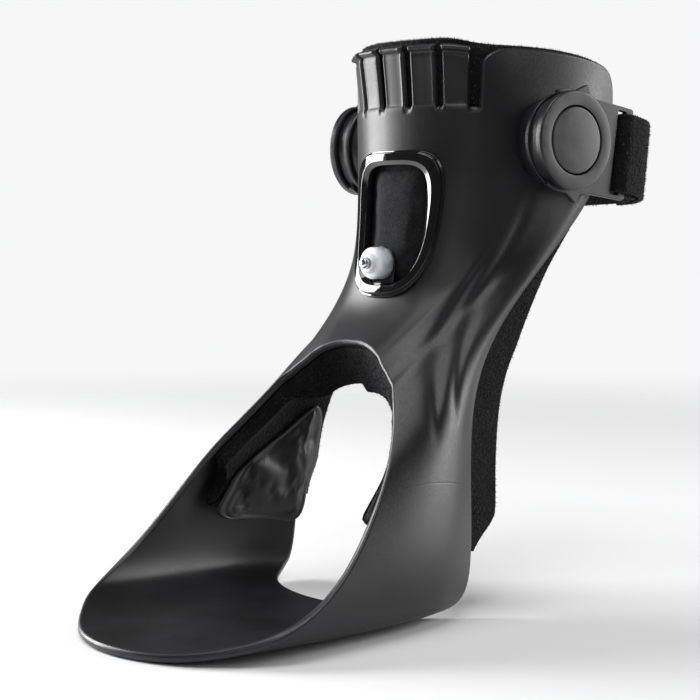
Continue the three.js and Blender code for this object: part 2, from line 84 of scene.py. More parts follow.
# Injection-moulded polypropylene, satin spark texture: soft broad highlights, and a paler colour along the
# rims that is partly rub wear and partly a painted rim highlight.
def makeShellPlastic():
    look = {"deep": "#151517", "pale": "#1b1b1e", "wearAndHighlight": "#2c2c30", "line": "#0c0c0d", "grainMm": 0.8,
            "flowMm": 34, "scuffMm": 6}
    material, tree, bsdf, place = startMaterial("mouldedPolypropylene", Roughness=0.4, IOR=1.49)
    flow = addNode(tree, noiseKind, {"Vector": place, "Scale": 1000 / look["flowMm"],
                                     "Detail": 3}).outputs["Fac"]
    grain = addNode(tree, noiseKind, {"Vector": place, "Scale": 1000 / look["grainMm"]}).outputs["Fac"]
    scuff = addNode(tree, noiseKind, {"Vector": place, "Scale": 1000 / look["scuffMm"],
                                      "Detail": 4}).outputs["Fac"]
    # Paler along every rim: partly rub wear in scuff patches, partly a painted highlight on the rounded rims.
    rim = addNode(tree, "ShaderNodeAttribute", attribute_name="rimWearAndHighlight").outputs["Fac"]
    patches = addNode(tree, rangeKind, {"Value": scuff, "From Min": 0.35, "From Max": 0.7, "To Min": 0.25},
                      **soft)
    wornAndHighlighted = addNode(tree, mathKind, {0: rim, 1: patches.outputs[0]}, operation="MULTIPLY").outputs[0]
    seam = addNode(tree, "ShaderNodeAttribute", attribute_name="seamMm").outputs["Fac"]
    fromSeam = addNode(tree, mathKind, {0: seam}, operation="ABSOLUTE").outputs[0]
    line = addNode(tree, rangeKind, {"Value": fromSeam, "From Min": 0.08, "From Max": 0.45, "To Min": 1,
                                     "To Max": 0},
                   **soft).outputs[0]
    tone = addNode(tree, rangeKind, {"Value": flow, "From Min": 0.35, "From Max": 0.65}, **soft).outputs[0]
    base = addNode(tree, mixKind, {0: tone, 6: toLinear(look["deep"]), 7: toLinear(look["pale"])},
                   **colour).outputs[2]
    # Mix in the pale rim colour: painted rim highlight and rub wear together.
    wearAndHighlightShare = addNode(tree, mathKind, {0: wornAndHighlighted, 1: 0.7}, operation="MULTIPLY").outputs[0]
    base = addNode(tree, mixKind, {0: wearAndHighlightShare, 6: base, 7: toLinear(look["wearAndHighlight"])}, **colour).outputs[2]
    lineShare = addNode(tree, mathKind, {0: line, 1: 0.25}, operation="MULTIPLY").outputs[0]
    base = addNode(tree, mixKind, {0: lineShare, 6: base, 7: toLinear(look["line"])}, **colour).outputs[2]
    broad = addNode(tree, rangeKind, {"Value": flow, "From Min": 0.3, "From Max": 0.7, "To Min": 0.36,
                                      "To Max": 0.44},
                    **soft).outputs[0]
    fine = addNode(tree, rangeKind, {"Value": grain, "From Min": 0.3, "From Max": 0.7, "To Min": -0.03,
                                     "To Max": 0.04},
                   **soft).outputs[0]
    rough = addNode(tree, mathKind, {0: broad, 1: fine}, operation="ADD").outputs[0]
    polish = addNode(tree, mathKind, {0: wornAndHighlighted, 1: 0.06}, operation="MULTIPLY").outputs[0]
    rough = addNode(tree, mathKind, {0: rough, 1: polish}, operation="SUBTRACT").outputs[0]
    spark = addNode(tree, bumpKind, {"Height": grain, "Distance": 0.03 * mm, "Strength": 0.5}).outputs[0]
    parted = addNode(tree, bumpKind, {"Height": line, "Distance": -0.05 * mm, "Strength": 0.5,
                                      "Normal": spark})
    attach(tree, bsdf, Base_Color=base, Roughness=rough, Normal=parted.outputs[0])
    return material


# Polished ABS, piano black: near mirror with faint moulding ripple and wiping marks.
def makeGlossPlastic():
    look = {"deep": "#070708", "wiped": "#0f0f11", "rippleMm": 9, "wipeMm": 1.6}
    material, tree, bsdf, place = startMaterial("polishedAbs", Roughness=0.06, IOR=1.54)
    bsdf.inputs["Coat Weight"].default_value = 0.6
    bsdf.inputs["Coat Roughness"].default_value = 0.03
    ripple = addNode(tree, noiseKind, {"Vector": place, "Scale": 1000 / look["rippleMm"],
                                       "Detail": 1}).outputs["Fac"]
    long = addNode(tree, mappingKind, {"Vector": place, "Scale": (1, 1, 0.2)}).outputs[0]
    wipe = addNode(tree, noiseKind, {"Vector": long, "Scale": 1000 / look["wipeMm"],
                                     "Detail": 4}).outputs["Fac"]
    base = addNode(tree, mixKind, {0: wipe, 6: toLinear(look["deep"]), 7: toLinear(look["wiped"])},
                   **colour).outputs[2]
    rough = addNode(tree, rangeKind, {"Value": wipe, "From Min": 0.4, "From Max": 0.75, "To Min": 0.04,
                                      "To Max": 0.12},
                    **soft).outputs[0]
    waves = addNode(tree, bumpKind, {"Height": ripple, "Distance": 0.05 * mm, "Strength": 0.3}).outputs[0]
    attach(tree, bsdf, Base_Color=base, Roughness=rough, Normal=waves)
    return material


# Glass-filled nylon, fine spark-eroded texture: dull charcoal sheen with pale rubbed grit.
def makeDiscPlastic():
    look = {"deep": "#1a1a1c", "pale": "#242427", "grit": "#4a4a4e", "gritMm": 0.55, "cloudMm": 7}
    material, tree, bsdf, place = startMaterial("texturedNylon", Roughness=0.42, IOR=1.53)
    grit = addNode(tree, noiseKind, {"Vector": place, "Scale": 1000 / look["gritMm"], "Detail": 3,
                                     "Roughness": 0.6}).outputs["Fac"]
    cloud = addNode(tree, noiseKind, {"Vector": place, "Scale": 1000 / look["cloudMm"],
                                      "Detail": 3}).outputs["Fac"]
    tone = addNode(tree, rangeKind, {"Value": cloud, "From Min": 0.3, "From Max": 0.7}, **soft).outputs[0]
    base = addNode(tree, mixKind, {0: tone, 6: toLinear(look["deep"]), 7: toLinear(look["pale"])},
                   **colour).outputs[2]
    peaks = addNode(tree, rangeKind, {"Value": grit, "From Min": 0.55, "From Max": 0.8, "To Max": 0.35},
                    **soft)
    base = addNode(tree, mixKind, {0: peaks.outputs[0], 6: base, 7: toLinear(look["grit"])},
                   **colour).outputs[2]
    broad = addNode(tree, rangeKind, {"Value": cloud, "From Min": 0.3, "From Max": 0.7, "To Min": 0.33,
                                      "To Max": 0.43},
                    **soft).outputs[0]
    fine = addNode(tree, rangeKind, {"Value": grit, "From Min": 0.3, "From Max": 0.7, "To Min": -0.04,
                                     "To Max": 0.05},
                   **soft).outputs[0]
    rough = addNode(tree, mathKind, {0: broad, 1: fine}, operation="ADD").outputs[0]
    spark = addNode(tree, bumpKind, {"Height": grit, "Distance": 0.045 * mm, "Strength": 0.6}).outputs[0]
    attach(tree, bsdf, Base_Color=base, Roughness=rough, Normal=spark)
    return material


# Brushed nylon tricot or velour: matt black, with the loop crowns painted pale as painted highlight specks.
def makePile(name, loopMm, deep, highlightSpeck, bumpMm, sheen):
    material, tree, bsdf, place = startMaterial(name, Roughness=0.92, IOR=1.5)
    bsdf.inputs["Sheen Weight"].default_value = sheen
    bsdf.inputs["Sheen Roughness"].default_value = 0.45
    bsdf.inputs["Sheen Tint"].default_value = toLinear("#8a8a92")
    bsdf.inputs["Specular IOR Level"].default_value = 0.25
    loops = addNode(tree, "ShaderNodeTexVoronoi", {"Vector": place, "Scale": 1000 / loopMm,
                                                   "Randomness": 1.0})
    fluff = addNode(tree, noiseKind, {"Vector": place, "Scale": 1000 / (loopMm * 0.8), "Detail": 3,
                                      "Roughness": 0.65}).outputs["Fac"]
    brushed = addNode(tree, noiseKind, {"Vector": place, "Scale": 1000 / (loopMm * 9), "Detail": 3,
                                        "Roughness": 0.6}).outputs["Fac"]
    crowns = addNode(tree, rangeKind, {"Value": loops.outputs["Distance"], "From Min": 0, "From Max": 0.65,
                                       "To Min": 1, "To Max": 0}, **soft).outputs[0]
    height = addNode(tree, mathKind, {0: crowns, 1: fluff}, operation="MULTIPLY").outputs[0]
    tone = addNode(tree, rangeKind, {"Value": brushed, "From Min": 0.35, "From Max": 0.68}, **soft).outputs[0]
    base = addNode(tree, mixKind, {0: tone, 6: toLinear(deep[0]), 7: toLinear(deep[1])}, **colour).outputs[2]
    # Painted highlight: the loop crowns get the pale speck colour as if they caught the light.
    lit = addNode(tree, rangeKind, {"Value": height, "From Min": 0.32, "From Max": 0.62}, **soft).outputs[0]
    base = addNode(tree, mixKind, {0: lit, 6: base, 7: toLinear(highlightSpeck)}, **colour).outputs[2]
    rough = addNode(tree, rangeKind, {"Value": fluff, "From Min": 0.3, "From Max": 0.7, "To Min": 0.8},
                    **soft)
    nap = addNode(tree, bumpKind, {"Height": height, "Distance": bumpMm * mm, "Strength": 0.9}).outputs[0]
    attach(tree, bsdf, Base_Color=base, Roughness=rough.outputs[0], Normal=nap)
    return material


# Polyurethane film over foam: soft satin leather look, fine pores and a few long stretch creases.
def makeLeatherette():
    look = {"deep": "#151517", "pale": "#202023", "weld": "#2b2b2e", "poreMm": 0.9, "creaseMm": 7}
    material, tree, bsdf, place = startMaterial("polyurethaneFilm", Roughness=0.42, IOR=1.48)
    pores = addNode(tree, "ShaderNodeTexVoronoi", {"Vector": place, "Scale": 1000 / look["poreMm"]},
                    feature="SMOOTH_F1").outputs["Distance"]
    long = addNode(tree, mappingKind, {"Vector": place, "Scale": (1, 1, 0.35)}).outputs[0]
    creases = addNode(tree, noiseKind, {"Vector": long, "Scale": 1000 / look["creaseMm"],
                                        "Detail": 4}).outputs["Fac"]
    weld = addNode(tree, "ShaderNodeAttribute", attribute_name="weldMm").outputs["Fac"]
    rib = addNode(tree, rangeKind, {"Value": weld, "From Min": 1.9, "From Max": 2.7, "To Min": 1,
                                    "To Max": 0},
                  **soft).outputs[0]
    base = addNode(tree, mixKind, {0: creases, 6: toLinear(look["deep"]), 7: toLinear(look["pale"])},
                   **colour).outputs[2]
    ribShare = addNode(tree, mathKind, {0: rib, 1: 0.6}, operation="MULTIPLY").outputs[0]
    base = addNode(tree, mixKind, {0: ribShare, 6: base, 7: toLinear(look["weld"])}, **colour).outputs[2]
    rough = addNode(tree, rangeKind, {"Value": creases, "From Min": 0.3, "From Max": 0.7, "To Min": 0.36,
                                      "To Max": 0.48}, **soft).outputs[0]
    pitted = addNode(tree, bumpKind, {"Height": pores, "Distance": 0.05 * mm, "Strength": 0.5}).outputs[0]
    creased = addNode(tree, bumpKind, {"Height": creases, "Distance": 0.3 * mm, "Strength": 0.2,
                                       "Normal": pitted})
    attach(tree, bsdf, Base_Color=base, Roughness=rough, Normal=creased.outputs[0])
    return material


# Milky silicone rubber: light passes a little way in, satin skin with handling dust.
def makeSilicone():
    look = {"milky": "#dfe3ee", "pale": "#f3f5fa", "hazeMm": 3.5}
    material, tree, bsdf, place = startMaterial("milkySilicone", Roughness=0.3, IOR=1.41)
    bsdf.inputs["Subsurface Weight"].default_value = 0.45
    bsdf.inputs["Subsurface Radius"].default_value = (0.0025, 0.0028, 0.0032)
    bsdf.inputs["Subsurface Scale"].default_value = 1.0
    haze = addNode(tree, noiseKind, {"Vector": place, "Scale": 1000 / look["hazeMm"],
                                     "Detail": 3}).outputs["Fac"]
    tone = addNode(tree, rangeKind, {"Value": haze, "From Min": 0.3, "From Max": 0.7}, **soft).outputs[0]
    base = addNode(tree, mixKind, {0: tone, 6: toLinear(look["milky"]), 7: toLinear(look["pale"])},
                   **colour).outputs[2]
    rough = addNode(tree, rangeKind, {"Value": haze, "From Min": 0.3, "From Max": 0.7, "To Min": 0.22,
                                      "To Max": 0.34},
                    **soft).outputs[0]
    uneven = addNode(tree, bumpKind, {"Height": haze, "Distance": 0.1 * mm, "Strength": 0.2}).outputs[0]
    attach(tree, bsdf, Base_Color=base, Roughness=rough, Normal=uneven)
    return material


# Nickel-plated turned brass: bright mirror with turning lines round the axis.
def makePlated():
    look = {"dull": "#c9cbd0", "bright": "#eceded", "lineMm": 0.5, "dullMm": 1.2}
    material, tree, bsdf, place = startMaterial("platedBrass", Metallic=1.0, Roughness=0.1)
    lathe = addNode(tree, "ShaderNodeTexWave", {"Vector": place, "Scale": 1000 / look["lineMm"],
                                                "Distortion": 0.4},
                    bands_direction="Y").outputs["Fac"]
    dull = addNode(tree, noiseKind, {"Vector": place, "Scale": 1000 / look["dullMm"],
                                     "Detail": 3}).outputs["Fac"]
    base = addNode(tree, mixKind, {0: dull, 6: toLinear(look["dull"]), 7: toLinear(look["bright"])},
                   **colour).outputs[2]
    rough = addNode(tree, rangeKind, {"Value": dull, "From Min": 0.3, "From Max": 0.7, "To Min": 0.06,
                                      "To Max": 0.16},
                    **soft).outputs[0]
    turnedLines = addNode(tree, bumpKind, {"Height": lathe, "Distance": 0.01 * mm,
                                           "Strength": 0.4}).outputs[0]
    attach(tree, bsdf, Base_Color=base, Roughness=rough, Normal=turnedLines)
    return material


# Moulded hook tape: flat black nylon with rows of tiny hooks.
def makeHookTape():
    look = {"deep": "#0a0a0b", "hook": "#29292b", "rowMm": 3.8}
    material, tree, bsdf, place = startMaterial("hookTape", Roughness=0.7, IOR=1.53)
    along = addNode(tree, mappingKind, {"Vector": place, "Rotation": (math.radians(13), 0, 0)}).outputs[0]
    across = addNode(tree, "ShaderNodeTexWave", {"Vector": along, "Scale": 1000 / look["rowMm"]},
                     bands_direction="Z").outputs["Fac"]
    down = addNode(tree, "ShaderNodeTexWave", {"Vector": along, "Scale": 1000 / look["rowMm"]},
                   bands_direction="Y").outputs["Fac"]
    hooks = addNode(tree, mathKind, {0: across, 1: down}, operation="MULTIPLY").outputs[0]
    tone = addNode(tree, rangeKind, {"Value": hooks, "From Min": 0.2, "From Max": 0.8}, **soft).outputs[0]
    base = addNode(tree, mixKind, {0: tone, 6: toLinear(look["deep"]), 7: toLinear(look["hook"])},
                   **colour).outputs[2]
    raised = addNode(tree, bumpKind, {"Height": hooks, "Distance": 0.4 * mm, "Strength": 0.8}).outputs[0]
    attach(tree, bsdf, Base_Color=base, Normal=raised)
    return material


# Spun polyester sewing thread: twisted strands with a slight gleam.
def makeThread():
    look = {"deep": "#141416", "pale": "#333337", "twistMm": 0.5}
    material, tree, bsdf, place = startMaterial("polyesterThread", Roughness=0.55, IOR=1.5)
    bsdf.inputs["Sheen Weight"].default_value = 0.3
    twist = addNode(tree, noiseKind, {"Vector": place, "Scale": 1000 / look["twistMm"]}).outputs["Fac"]
    base = addNode(tree, mixKind, {0: twist, 6: toLinear(look["deep"]), 7: toLinear(look["pale"])},
                   **colour).outputs[2]
    strands = addNode(tree, bumpKind, {"Height": twist, "Distance": 0.08 * mm, "Strength": 0.6}).outputs[0]
    attach(tree, bsdf, Base_Color=base, Normal=strands)
    return material


finish = {
    "shell": makeShellPlastic(), "gloss": makeGlossPlastic(), "disc": makeDiscPlastic(),
    # Each pile's last colour is its painted highlight on the loop crowns.
    "cell": makePile("brushedTricot", 0.9, ("#101012", "#19191c"), "#3a3a3f", 0.16, 0.12),
    "velour": makePile("nylonVelour", 1.15, ("#060607", "#121214"), "#48484e", 0.5, 0.12),
    "strap": makePile("loopPile", 1.5, ("#060607", "#111113"), "#434348", 0.7, 0.12),
    "leather": makeLeatherette(), "silicone": makeSilicone(), "metal": makePlated(),
    "hook": makeHookTape(), "thread": makeThread(),
}
print("materials ready")


# Mesh helpers. Points are in millimetres until they go into a mesh.
def meshPiece(name, points, faces, material, attributes=None, smooth=True):
    mesh = bpy.data.meshes.new(name)
    mesh.from_pydata((np.asarray(points, float) * mm).tolist(), [], [list(f) for f in faces])
    for label, values in (attributes or {}).items():
        mesh.attributes.new(label, "FLOAT", "POINT").data.foreach_set("value", np.asarray(values, np.float32))
    mesh.polygons.foreach_set("use_smooth", [smooth] * len(mesh.polygons))
    mesh.materials.append(material)
    mesh.update()
    piece = bpy.data.objects.new(name, mesh)
    scene.collection.objects.link(piece)
    return piece


def settle(piece, body, slot, *nodes):
    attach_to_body(piece, body)
    if nodes:
        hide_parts(*nodes)
    return piece


def gridSolid(top, back, keep=None, ring=False):
    rows, columns = top.shape[:2]
    cells = rows if ring else rows - 1
    keep = np.ones((cells, columns - 1), bool) if keep is None else keep
    rowOf, columnOf = np.nonzero(keep)
    nextRow = (rowOf + 1) % rows
    half = rows * columns
    a, b = rowOf * columns + columnOf, nextRow * columns + columnOf
    faces = [np.stack([a, b, b + 1, a + 1], 1), half + np.stack([a, a + 1, b + 1, b], 1)]
    padded = np.zeros((cells + 2, columns + 1), bool)
    padded[1:-1, 1:-1] = keep
    if ring:
        padded[0, 1:-1], padded[-1, 1:-1] = keep[-1], keep[0]
    beside = {"left": padded[1:-1, :-2], "right": padded[1:-1, 2:], "up": padded[:-2, 1:-1],
              "down": padded[2:, 1:-1]}
    for side, there in beside.items():
        open_ = ~there[rowOf, columnOf]
        p, q = a[open_], b[open_]
        if side == "left":
            faces.append(np.stack([p, p + half, q + half, q], 1))
        elif side == "right":
            faces.append(np.stack([p + 1, q + 1, q + 1 + half, p + 1 + half], 1))
        elif side == "up":
            faces.append(np.stack([p, p + 1, p + 1 + half, p + half], 1))
        else:
            faces.append(np.stack([q, q + half, q + 1 + half, q + 1], 1))
    faces = np.concatenate(faces)
    points = np.concatenate([top.reshape(-1, 3), back.reshape(-1, 3)])
    used, faces = np.unique(faces, return_inverse=True)
    return points[used], faces.reshape(-1, 4), used


def spaced(stops, size):
    out = [stops[0]]
    for a, b in zip(stops, stops[1:]):
        steps = max(1, round((b - a) / size))
        out += [a + (b - a) * k / steps for k in range(1, steps + 1)]
    return np.array(out)


def rounded(corners, steps=5, closedPath=False):
    path, count = [], len(corners)
    for n, corner in enumerate(corners):
        here, radius = np.array(corner[:2], float), (corner[2] if len(corner) > 2 else 0)
        if not radius or (not closedPath and n in (0, count - 1)):
            path.append(here)
            continue
        before = np.array(corners[n - 1][:2], float) - here
        after = np.array(corners[(n + 1) % count][:2], float) - here
        la, lb = np.linalg.norm(before), np.linalg.norm(after)
        before, after = before / la, after / lb
        half = math.acos(max(-1, min(1, float(before @ after)))) / 2
        if abs(half - math.pi / 2) < 0.02:
            path.append(here)
            continue
        reach = min(radius / math.tan(half), la * 0.49, lb * 0.49)
        radius = reach * math.tan(half)
        middle = here + (before + after) / np.linalg.norm(before + after) * radius / math.sin(half)
        start, end = here + before * reach - middle, here + after * reach - middle
        turn = math.pi - 2 * half
        sign = 1 if start[0] * end[1] - start[1] * end[0] > 0 else -1
        for k in range(steps + 1):
            angle = sign * turn * k / steps
            path.append(middle + np.array([start[0] * math.cos(angle) - start[1] * math.sin(angle),
                                           start[0] * math.sin(angle) + start[1] * math.cos(angle)]))
    return np.array(path)


def turned(profile, segments=112, closedPath=False):
    count = len(profile)
    angles = np.arange(segments) / segments * 2 * math.pi
    points, index, faces = [], np.zeros((count, segments), int), []
    for n, (radius, height) in enumerate(profile):
        if radius < 1e-6:
            index[n] = len(points)
            points.append((0, 0, height))
        else:
            index[n] = len(points) + np.arange(segments)
            points += list(np.stack([radius * np.cos(angles), radius * np.sin(angles),
                                     np.full(segments, height)], 1))
    for n in range(count if closedPath else count - 1):
        low, high = index[n], index[(n + 1) % count]
        for k in range(segments):
            face = [low[k], low[(k + 1) % segments], high[(k + 1) % segments], high[k]]
            face = list(dict.fromkeys(face))
            if len(face) > 2:
                faces.append(face)
    return np.array(points, float), faces


# Shell surface: the same control net as the frame's shell, lateral half, in millimetres.
ribs = [
    [[0, 60, 97], [0, 76, 110], [0, 82.5, 138], [0, 83, 168], [0, 83, 184], [0, 80, 207]],
    [[5.5, 60, 97], [9.5, 77, 110.5], [12, 83.5, 138], [13, 84.5, 168], [13, 85, 184], [14, 82, 207]],
    [[11, 58.5, 95.5], [18.5, 79, 112], [23, 88.5, 139], [24.5, 90, 168], [25, 90, 184], [26.5, 87, 207]],
    [[14.5, 57.5, 94], [23, 83, 114.5], [30, 94.5, 140], [32, 95.5, 168], [32.5, 96, 184], [34, 96.5, 205]],
    [[17, 57, 92.5], [27, 86.5, 116], [35.5, 101, 142], [39.5, 106, 168], [40, 107, 184], [38, 113, 206.5]],
    [[18.5, 56, 91], [28.5, 88, 117.5], [40, 107, 143], [44, 121, 168], [44, 125, 184], [43, 131, 206]],
    [[21.5, 55, 88.5], [30.5, 90, 117], [42, 112, 140], [46, 131, 166], [46.5, 138, 181], [46, 151, 203.5]],
    [[24.5, 54, 86.5], [31.5, 91, 115.5], [42.5, 114.5, 136.5], [46.5, 136, 160], [46.5, 146, 174],
     [45, 163, 199.5]],
    [[27, 53, 84], [32.5, 91, 113], [43, 115, 132], [46, 135.5, 153], [47, 145, 163], [45, 159.5, 172]],
    [[29.5, 51.5, 82.5], [34, 87.5, 109], [42, 111.5, 127], [45.5, 129, 140.5], [46.5, 138, 146.5],
     [46, 147, 151]],
    [[32.5, 48.5, 78], [35.5, 80, 99.5], [40.5, 99, 113], [43, 113, 123.5], [44, 120.5, 128.5],
     [44.5, 128, 133]],
    [[36.5, 45, 72.5], [38.5, 69, 88], [40.5, 84, 98.5], [41.5, 94.5, 106], [42, 100, 109.5],
     [42, 105.5, 112.5]],
    [[40.5, 40, 66], [43, 58.5, 76], [43.5, 71, 83.5], [42.5, 80, 89], [41.5, 85, 91.5], [41, 89.5, 93.5]],
    [[45, 33.5, 58.5], [47.5, 49, 65], [48, 61, 69.5], [46.5, 70.5, 73], [44.5, 76, 74.5], [43.5, 80, 75.5]],
    [[49, 26, 49.5], [50.5, 41, 53.5], [50.5, 53, 55.5], [49, 64, 56.5], [47.5, 71, 57], [46.5, 75.5, 57]],
    [[52.5, 15, 36], [53.5, 31, 37.5], [53.5, 46, 37.5], [52, 61, 37], [49, 70, 36.5], [46.5, 76, 36]],
    [[55, -1, 20], [56, 18, 19.5], [56, 37, 19], [54.5, 55, 18], [50.5, 67, 17], [47.5, 75, 16]],
    [[53, -22, 8], [53.5, 4, 5.5], [54, 27, 4.5], [53.5, 46, 4], [50.5, 59.5, 4], [47, 71, 3.5]],
    [[41, -34, 3], [39, -8, 0.5], [39, 16, 0], [40, 37, 0], [40.5, 48, 0], [39.5, 57, 0]],
    [[25, -47.5, 0], [25, -20, 0], [24.5, 5, 0], [24, 29, 0], [23, 40, 0], [21, 47, 0]],
    [[0, -54, 0], [0, -25, 0], [0, 2, 0], [0, 25, 0], [0, 36, 0], [0, 42.5, 0]],
]
lastRib = len(ribs) - 1
mirrorX = np.array([-1, 1, 1])
net = np.array(ribs, float)
net = np.concatenate([net[1:2] * mirrorX, net, net[-2:-4:-1] * mirrorX])
net = np.concatenate([2 * net[:, :1] - net[:, 1:2], net] + [2 * net[:, -1:] - net[:, -2:-1]] * 2, axis=1)


def splineSpan(at):
    k = np.floor(at).astype(int)
    f = at - k
    return k, [(1 - f) ** 3 / 6, (3 * f ** 3 - 6 * f * f + 4) / 6, (-3 * f ** 3 + 3 * f * f + 3 * f + 1) / 6,
               f ** 3 / 6]


# u counts ribs from the shin (negative is medial), v counts columns from the front rim to the rear rim.
def skin(u, v):
    u, v = np.broadcast_arrays(np.asarray(u, float), np.asarray(v, float))
    ku, wu = splineSpan(np.abs(u))
    kv, wv = splineSpan(v)
    p = sum((wu[a] * wv[b])[..., None] * net[ku + a, kv + b] for a in range(4) for b in range(4))
    p[..., 0] *= np.where(u < 0, -1, 1)
    return p


def skinNormal(u, v):
    u, v = np.broadcast_arrays(np.asarray(u, float), np.asarray(v, float))
    step = 1e-3
    m, w = np.minimum(np.abs(u), lastRib - step), np.clip(v, 0, 5 - step)
    here = skin(m, w)
    n = np.cross(skin(m + step, w) - here, skin(m, w + step) - here)
    n /= np.linalg.norm(n, axis=-1, keepdims=True)
    n[..., 0] *= np.where(u < 0, -1, 1)
    return n


def smooth(x, low, high):
    t = np.clip((x - low) / (high - low), 0, 1)
    return t * t * (3 - 2 * t)


def bump(x, middle, half):
    return np.exp(-(((x - middle) / half) ** 2))


# Point at a height over the skin; beyond runs on past the nearer rim by that many millimetres.
def over(u, v, height, beyond=0.0):
    u, v, height, beyond = np.broadcast_arrays(*[np.asarray(x, float) for x in (u, v, height, beyond)])
    p = skin(u, v) + skinNormal(u, v) * height[..., None]
    rim, inward = np.where(v < 2.5, 0.0, 5.0), np.where(v < 2.5, 0.1, 4.9)
    away = skin(u, rim) - skin(u, inward)
    return p + away / np.linalg.norm(away, axis=-1, keepdims=True) * beyond[..., None]


shellShape = {
    "wall": 3.0,  # moulded thickness
    "rimRadius": 1.25,  # rounding of every rim
    "slots": [0.42, 0.59, 1.44, 1.61, 2.54, 2.9],  # gaps between the finger tabs, in ribs
    "fingerBase": 3.95,
    "windowRow": 1.44, "windowLow": 1.2, "windowHigh": 2.93,
    "rowStep": 0.16, "columnStep": 0.075,
    "beadHeight": 0.35, "beadWidth": 0.75,  # raised bead along both sides of a tab
    "lipHeight": 1.5, "lipMm": 2.4,  # half-round bead across a tab's tip
    "wingCorner": 7.5,  # radius of the wing's front upper corner
}


# Two shallow flutes arch from the wing over the neck and down the side leg.
def flutes(u, v):
    m = np.abs(u)
    fade = smooth(m, 4.7, 6) * (1 - smooth(m, 11.8, 13.6))
    front, back = 0.62 + 0.055 * (m - 8.9) ** 2, 1.12 + 0.085 * (m - 8.9) ** 2
    return fade * (-0.9 * bump(v, front, 0.2) - 0.7 * bump(v, back, 0.22))


def fillet(distance, radius):
    inside = np.clip(radius - distance, 0, radius)
    return radius - np.sqrt(radius ** 2 - inside ** 2)


def buildShell():
    shape = shellShape
    slots, base = shape["slots"], shape["fingerBase"]
    rimSteps = np.array([0, 0.1, 0.32, 0.65, 1.05, 1.5])
    half = list(spaced([0] + slots + [7, 15, 20], shape["rowStep"]))
    for n, edge in enumerate(slots):
        away = -1 if n % 2 == 0 else 1
        half += [edge + away * d / 11.0 for d in (0.1, 0.32, 0.65, 1.05, 1.4, 1.9)]
    half = np.array(sorted(h for h in half if h >= 0))
    half = half[np.concatenate([[True], np.diff(half) > 0.004])]
    rows = np.concatenate([-half[1:-1][::-1], half])
    m = np.abs(rows)
    speed = lambda v: np.linalg.norm(skin(m, np.full_like(m, v + 0.02 if v < 4 else v - 0.02))
                                     - skin(m, np.full_like(m, v)), axis=-1) / 0.02
    frontMm, rearMm = speed(0.0), speed(5.0)
    corner = shape["wingCorner"]
    reach = np.clip(1 - (m - slots[5]) * 9.5 / corner, 0, 1) * (m >= slots[5] - 1e-6)
    drop = corner * (1 - np.sqrt(1 - reach ** 2))
    topV = 5 - np.minimum(drop / rearMm, 0.75)
    middle = spaced([0.13, shape["windowLow"], shape["windowHigh"], base], shape["columnStep"])
    middle = np.concatenate([middle, [base + 0.03, base + 0.07, base + 0.12]])
    rearStart = topV - np.minimum(1.5 / rearMm, 0.5)
    parts = [rimSteps[None, :] / frontMm[:, None], np.repeat(middle[None, :], len(rows), 0),
             middle[-1] + (rearStart - middle[-1])[:, None] * np.linspace(0, 1, 40)[None, 1:],
             topV[:, None] - np.minimum(rimSteps[::-1][1:][None, :] / rearMm[:, None],
                                        0.5 * rimSteps[::-1][1:][None, :] / 1.5)]
    v = np.concatenate(parts, axis=1)
    u = np.repeat(rows[:, None], v.shape[1], 1)
    mu = np.abs(u)
    fromSlot = np.full(u.shape, 99.0)
    for a, b in zip(slots[::2], slots[1::2]):
        sideways = np.maximum(np.maximum(a - mu, mu - b), 0) * 11.0
        below = np.maximum(base - v, 0) * 23.0
        fromSlot = np.minimum(fromSlot, np.hypot(sideways, below))
    fromRim = np.minimum(v * frontMm[:, None], (topV[:, None] - v) * rearMm[:, None])
    edge = np.minimum(fromRim, fromSlot)
    onTab = (mu < slots[5]) * smooth(v, base - 0.01, base + 0.05)
    relief = flutes(u, v) - 1.0 * onTab
    relief += onTab * shape["beadHeight"] * bump(fromSlot, 1.0, shape["beadWidth"] * 0.6) * (mu < slots[4]
                                                                                             + 0.01)
    fromTip = (topV[:, None] - v) * rearMm[:, None]
    lip = np.clip(1 - ((fromTip - shape["lipMm"] / 2) / (shape["lipMm"] / 2)) ** 2, 0, 1) ** 0.5
    relief += (mu < slots[5]) * (shape["lipHeight"] * lip - 0.3 * bump(fromTip, shape["lipMm"] + 0.9, 0.7))
    cut = fillet(np.maximum(edge, 0), shape["rimRadius"])
    outer = over(u, v, relief - cut)
    inner = over(u, v, -shape["wall"] + cut)
    rowMiddle = np.abs((rows + np.roll(rows, -1)) / 2)
    rowMiddle[-1] = lastRib
    columnMiddle = (v[:, :-1] + v[:, 1:]) / 2
    keep = np.ones((len(rows), v.shape[1] - 1), bool)
    keep &= ~((rowMiddle[:, None] < shape["windowRow"]) & (columnMiddle > shape["windowLow"])
              & (columnMiddle < shape["windowHigh"]))
    for a, b in zip(slots[::2], slots[1::2]):
        keep &= ~((rowMiddle[:, None] > a) & (rowMiddle[:, None] < b) & (columnMiddle > base))
    points, faces, used = gridSolid(outer, inner, keep, ring=True)
    # Closeness to every rim, which the shell material paints paler: a painted rim highlight mixed with rub
    # wear.
    wearAndHighlight = np.exp(-np.maximum(edge, 0) / 0.9).ravel()
    seam = ((mu - 14.0 - 0.6 * v / 5) * 18.0).ravel()
    both = lambda values: np.concatenate([values, values])[used]
    return meshPiece("moulded_shell", points, faces, finish["shell"], {"rimWearAndHighlight": both(wearAndHighlight),
                                                                       "seamMm": both(seam)})


shell = settle(buildShell(), "brace", "shell_plastic", "shell")
print("shell", len(shell.data.polygons))


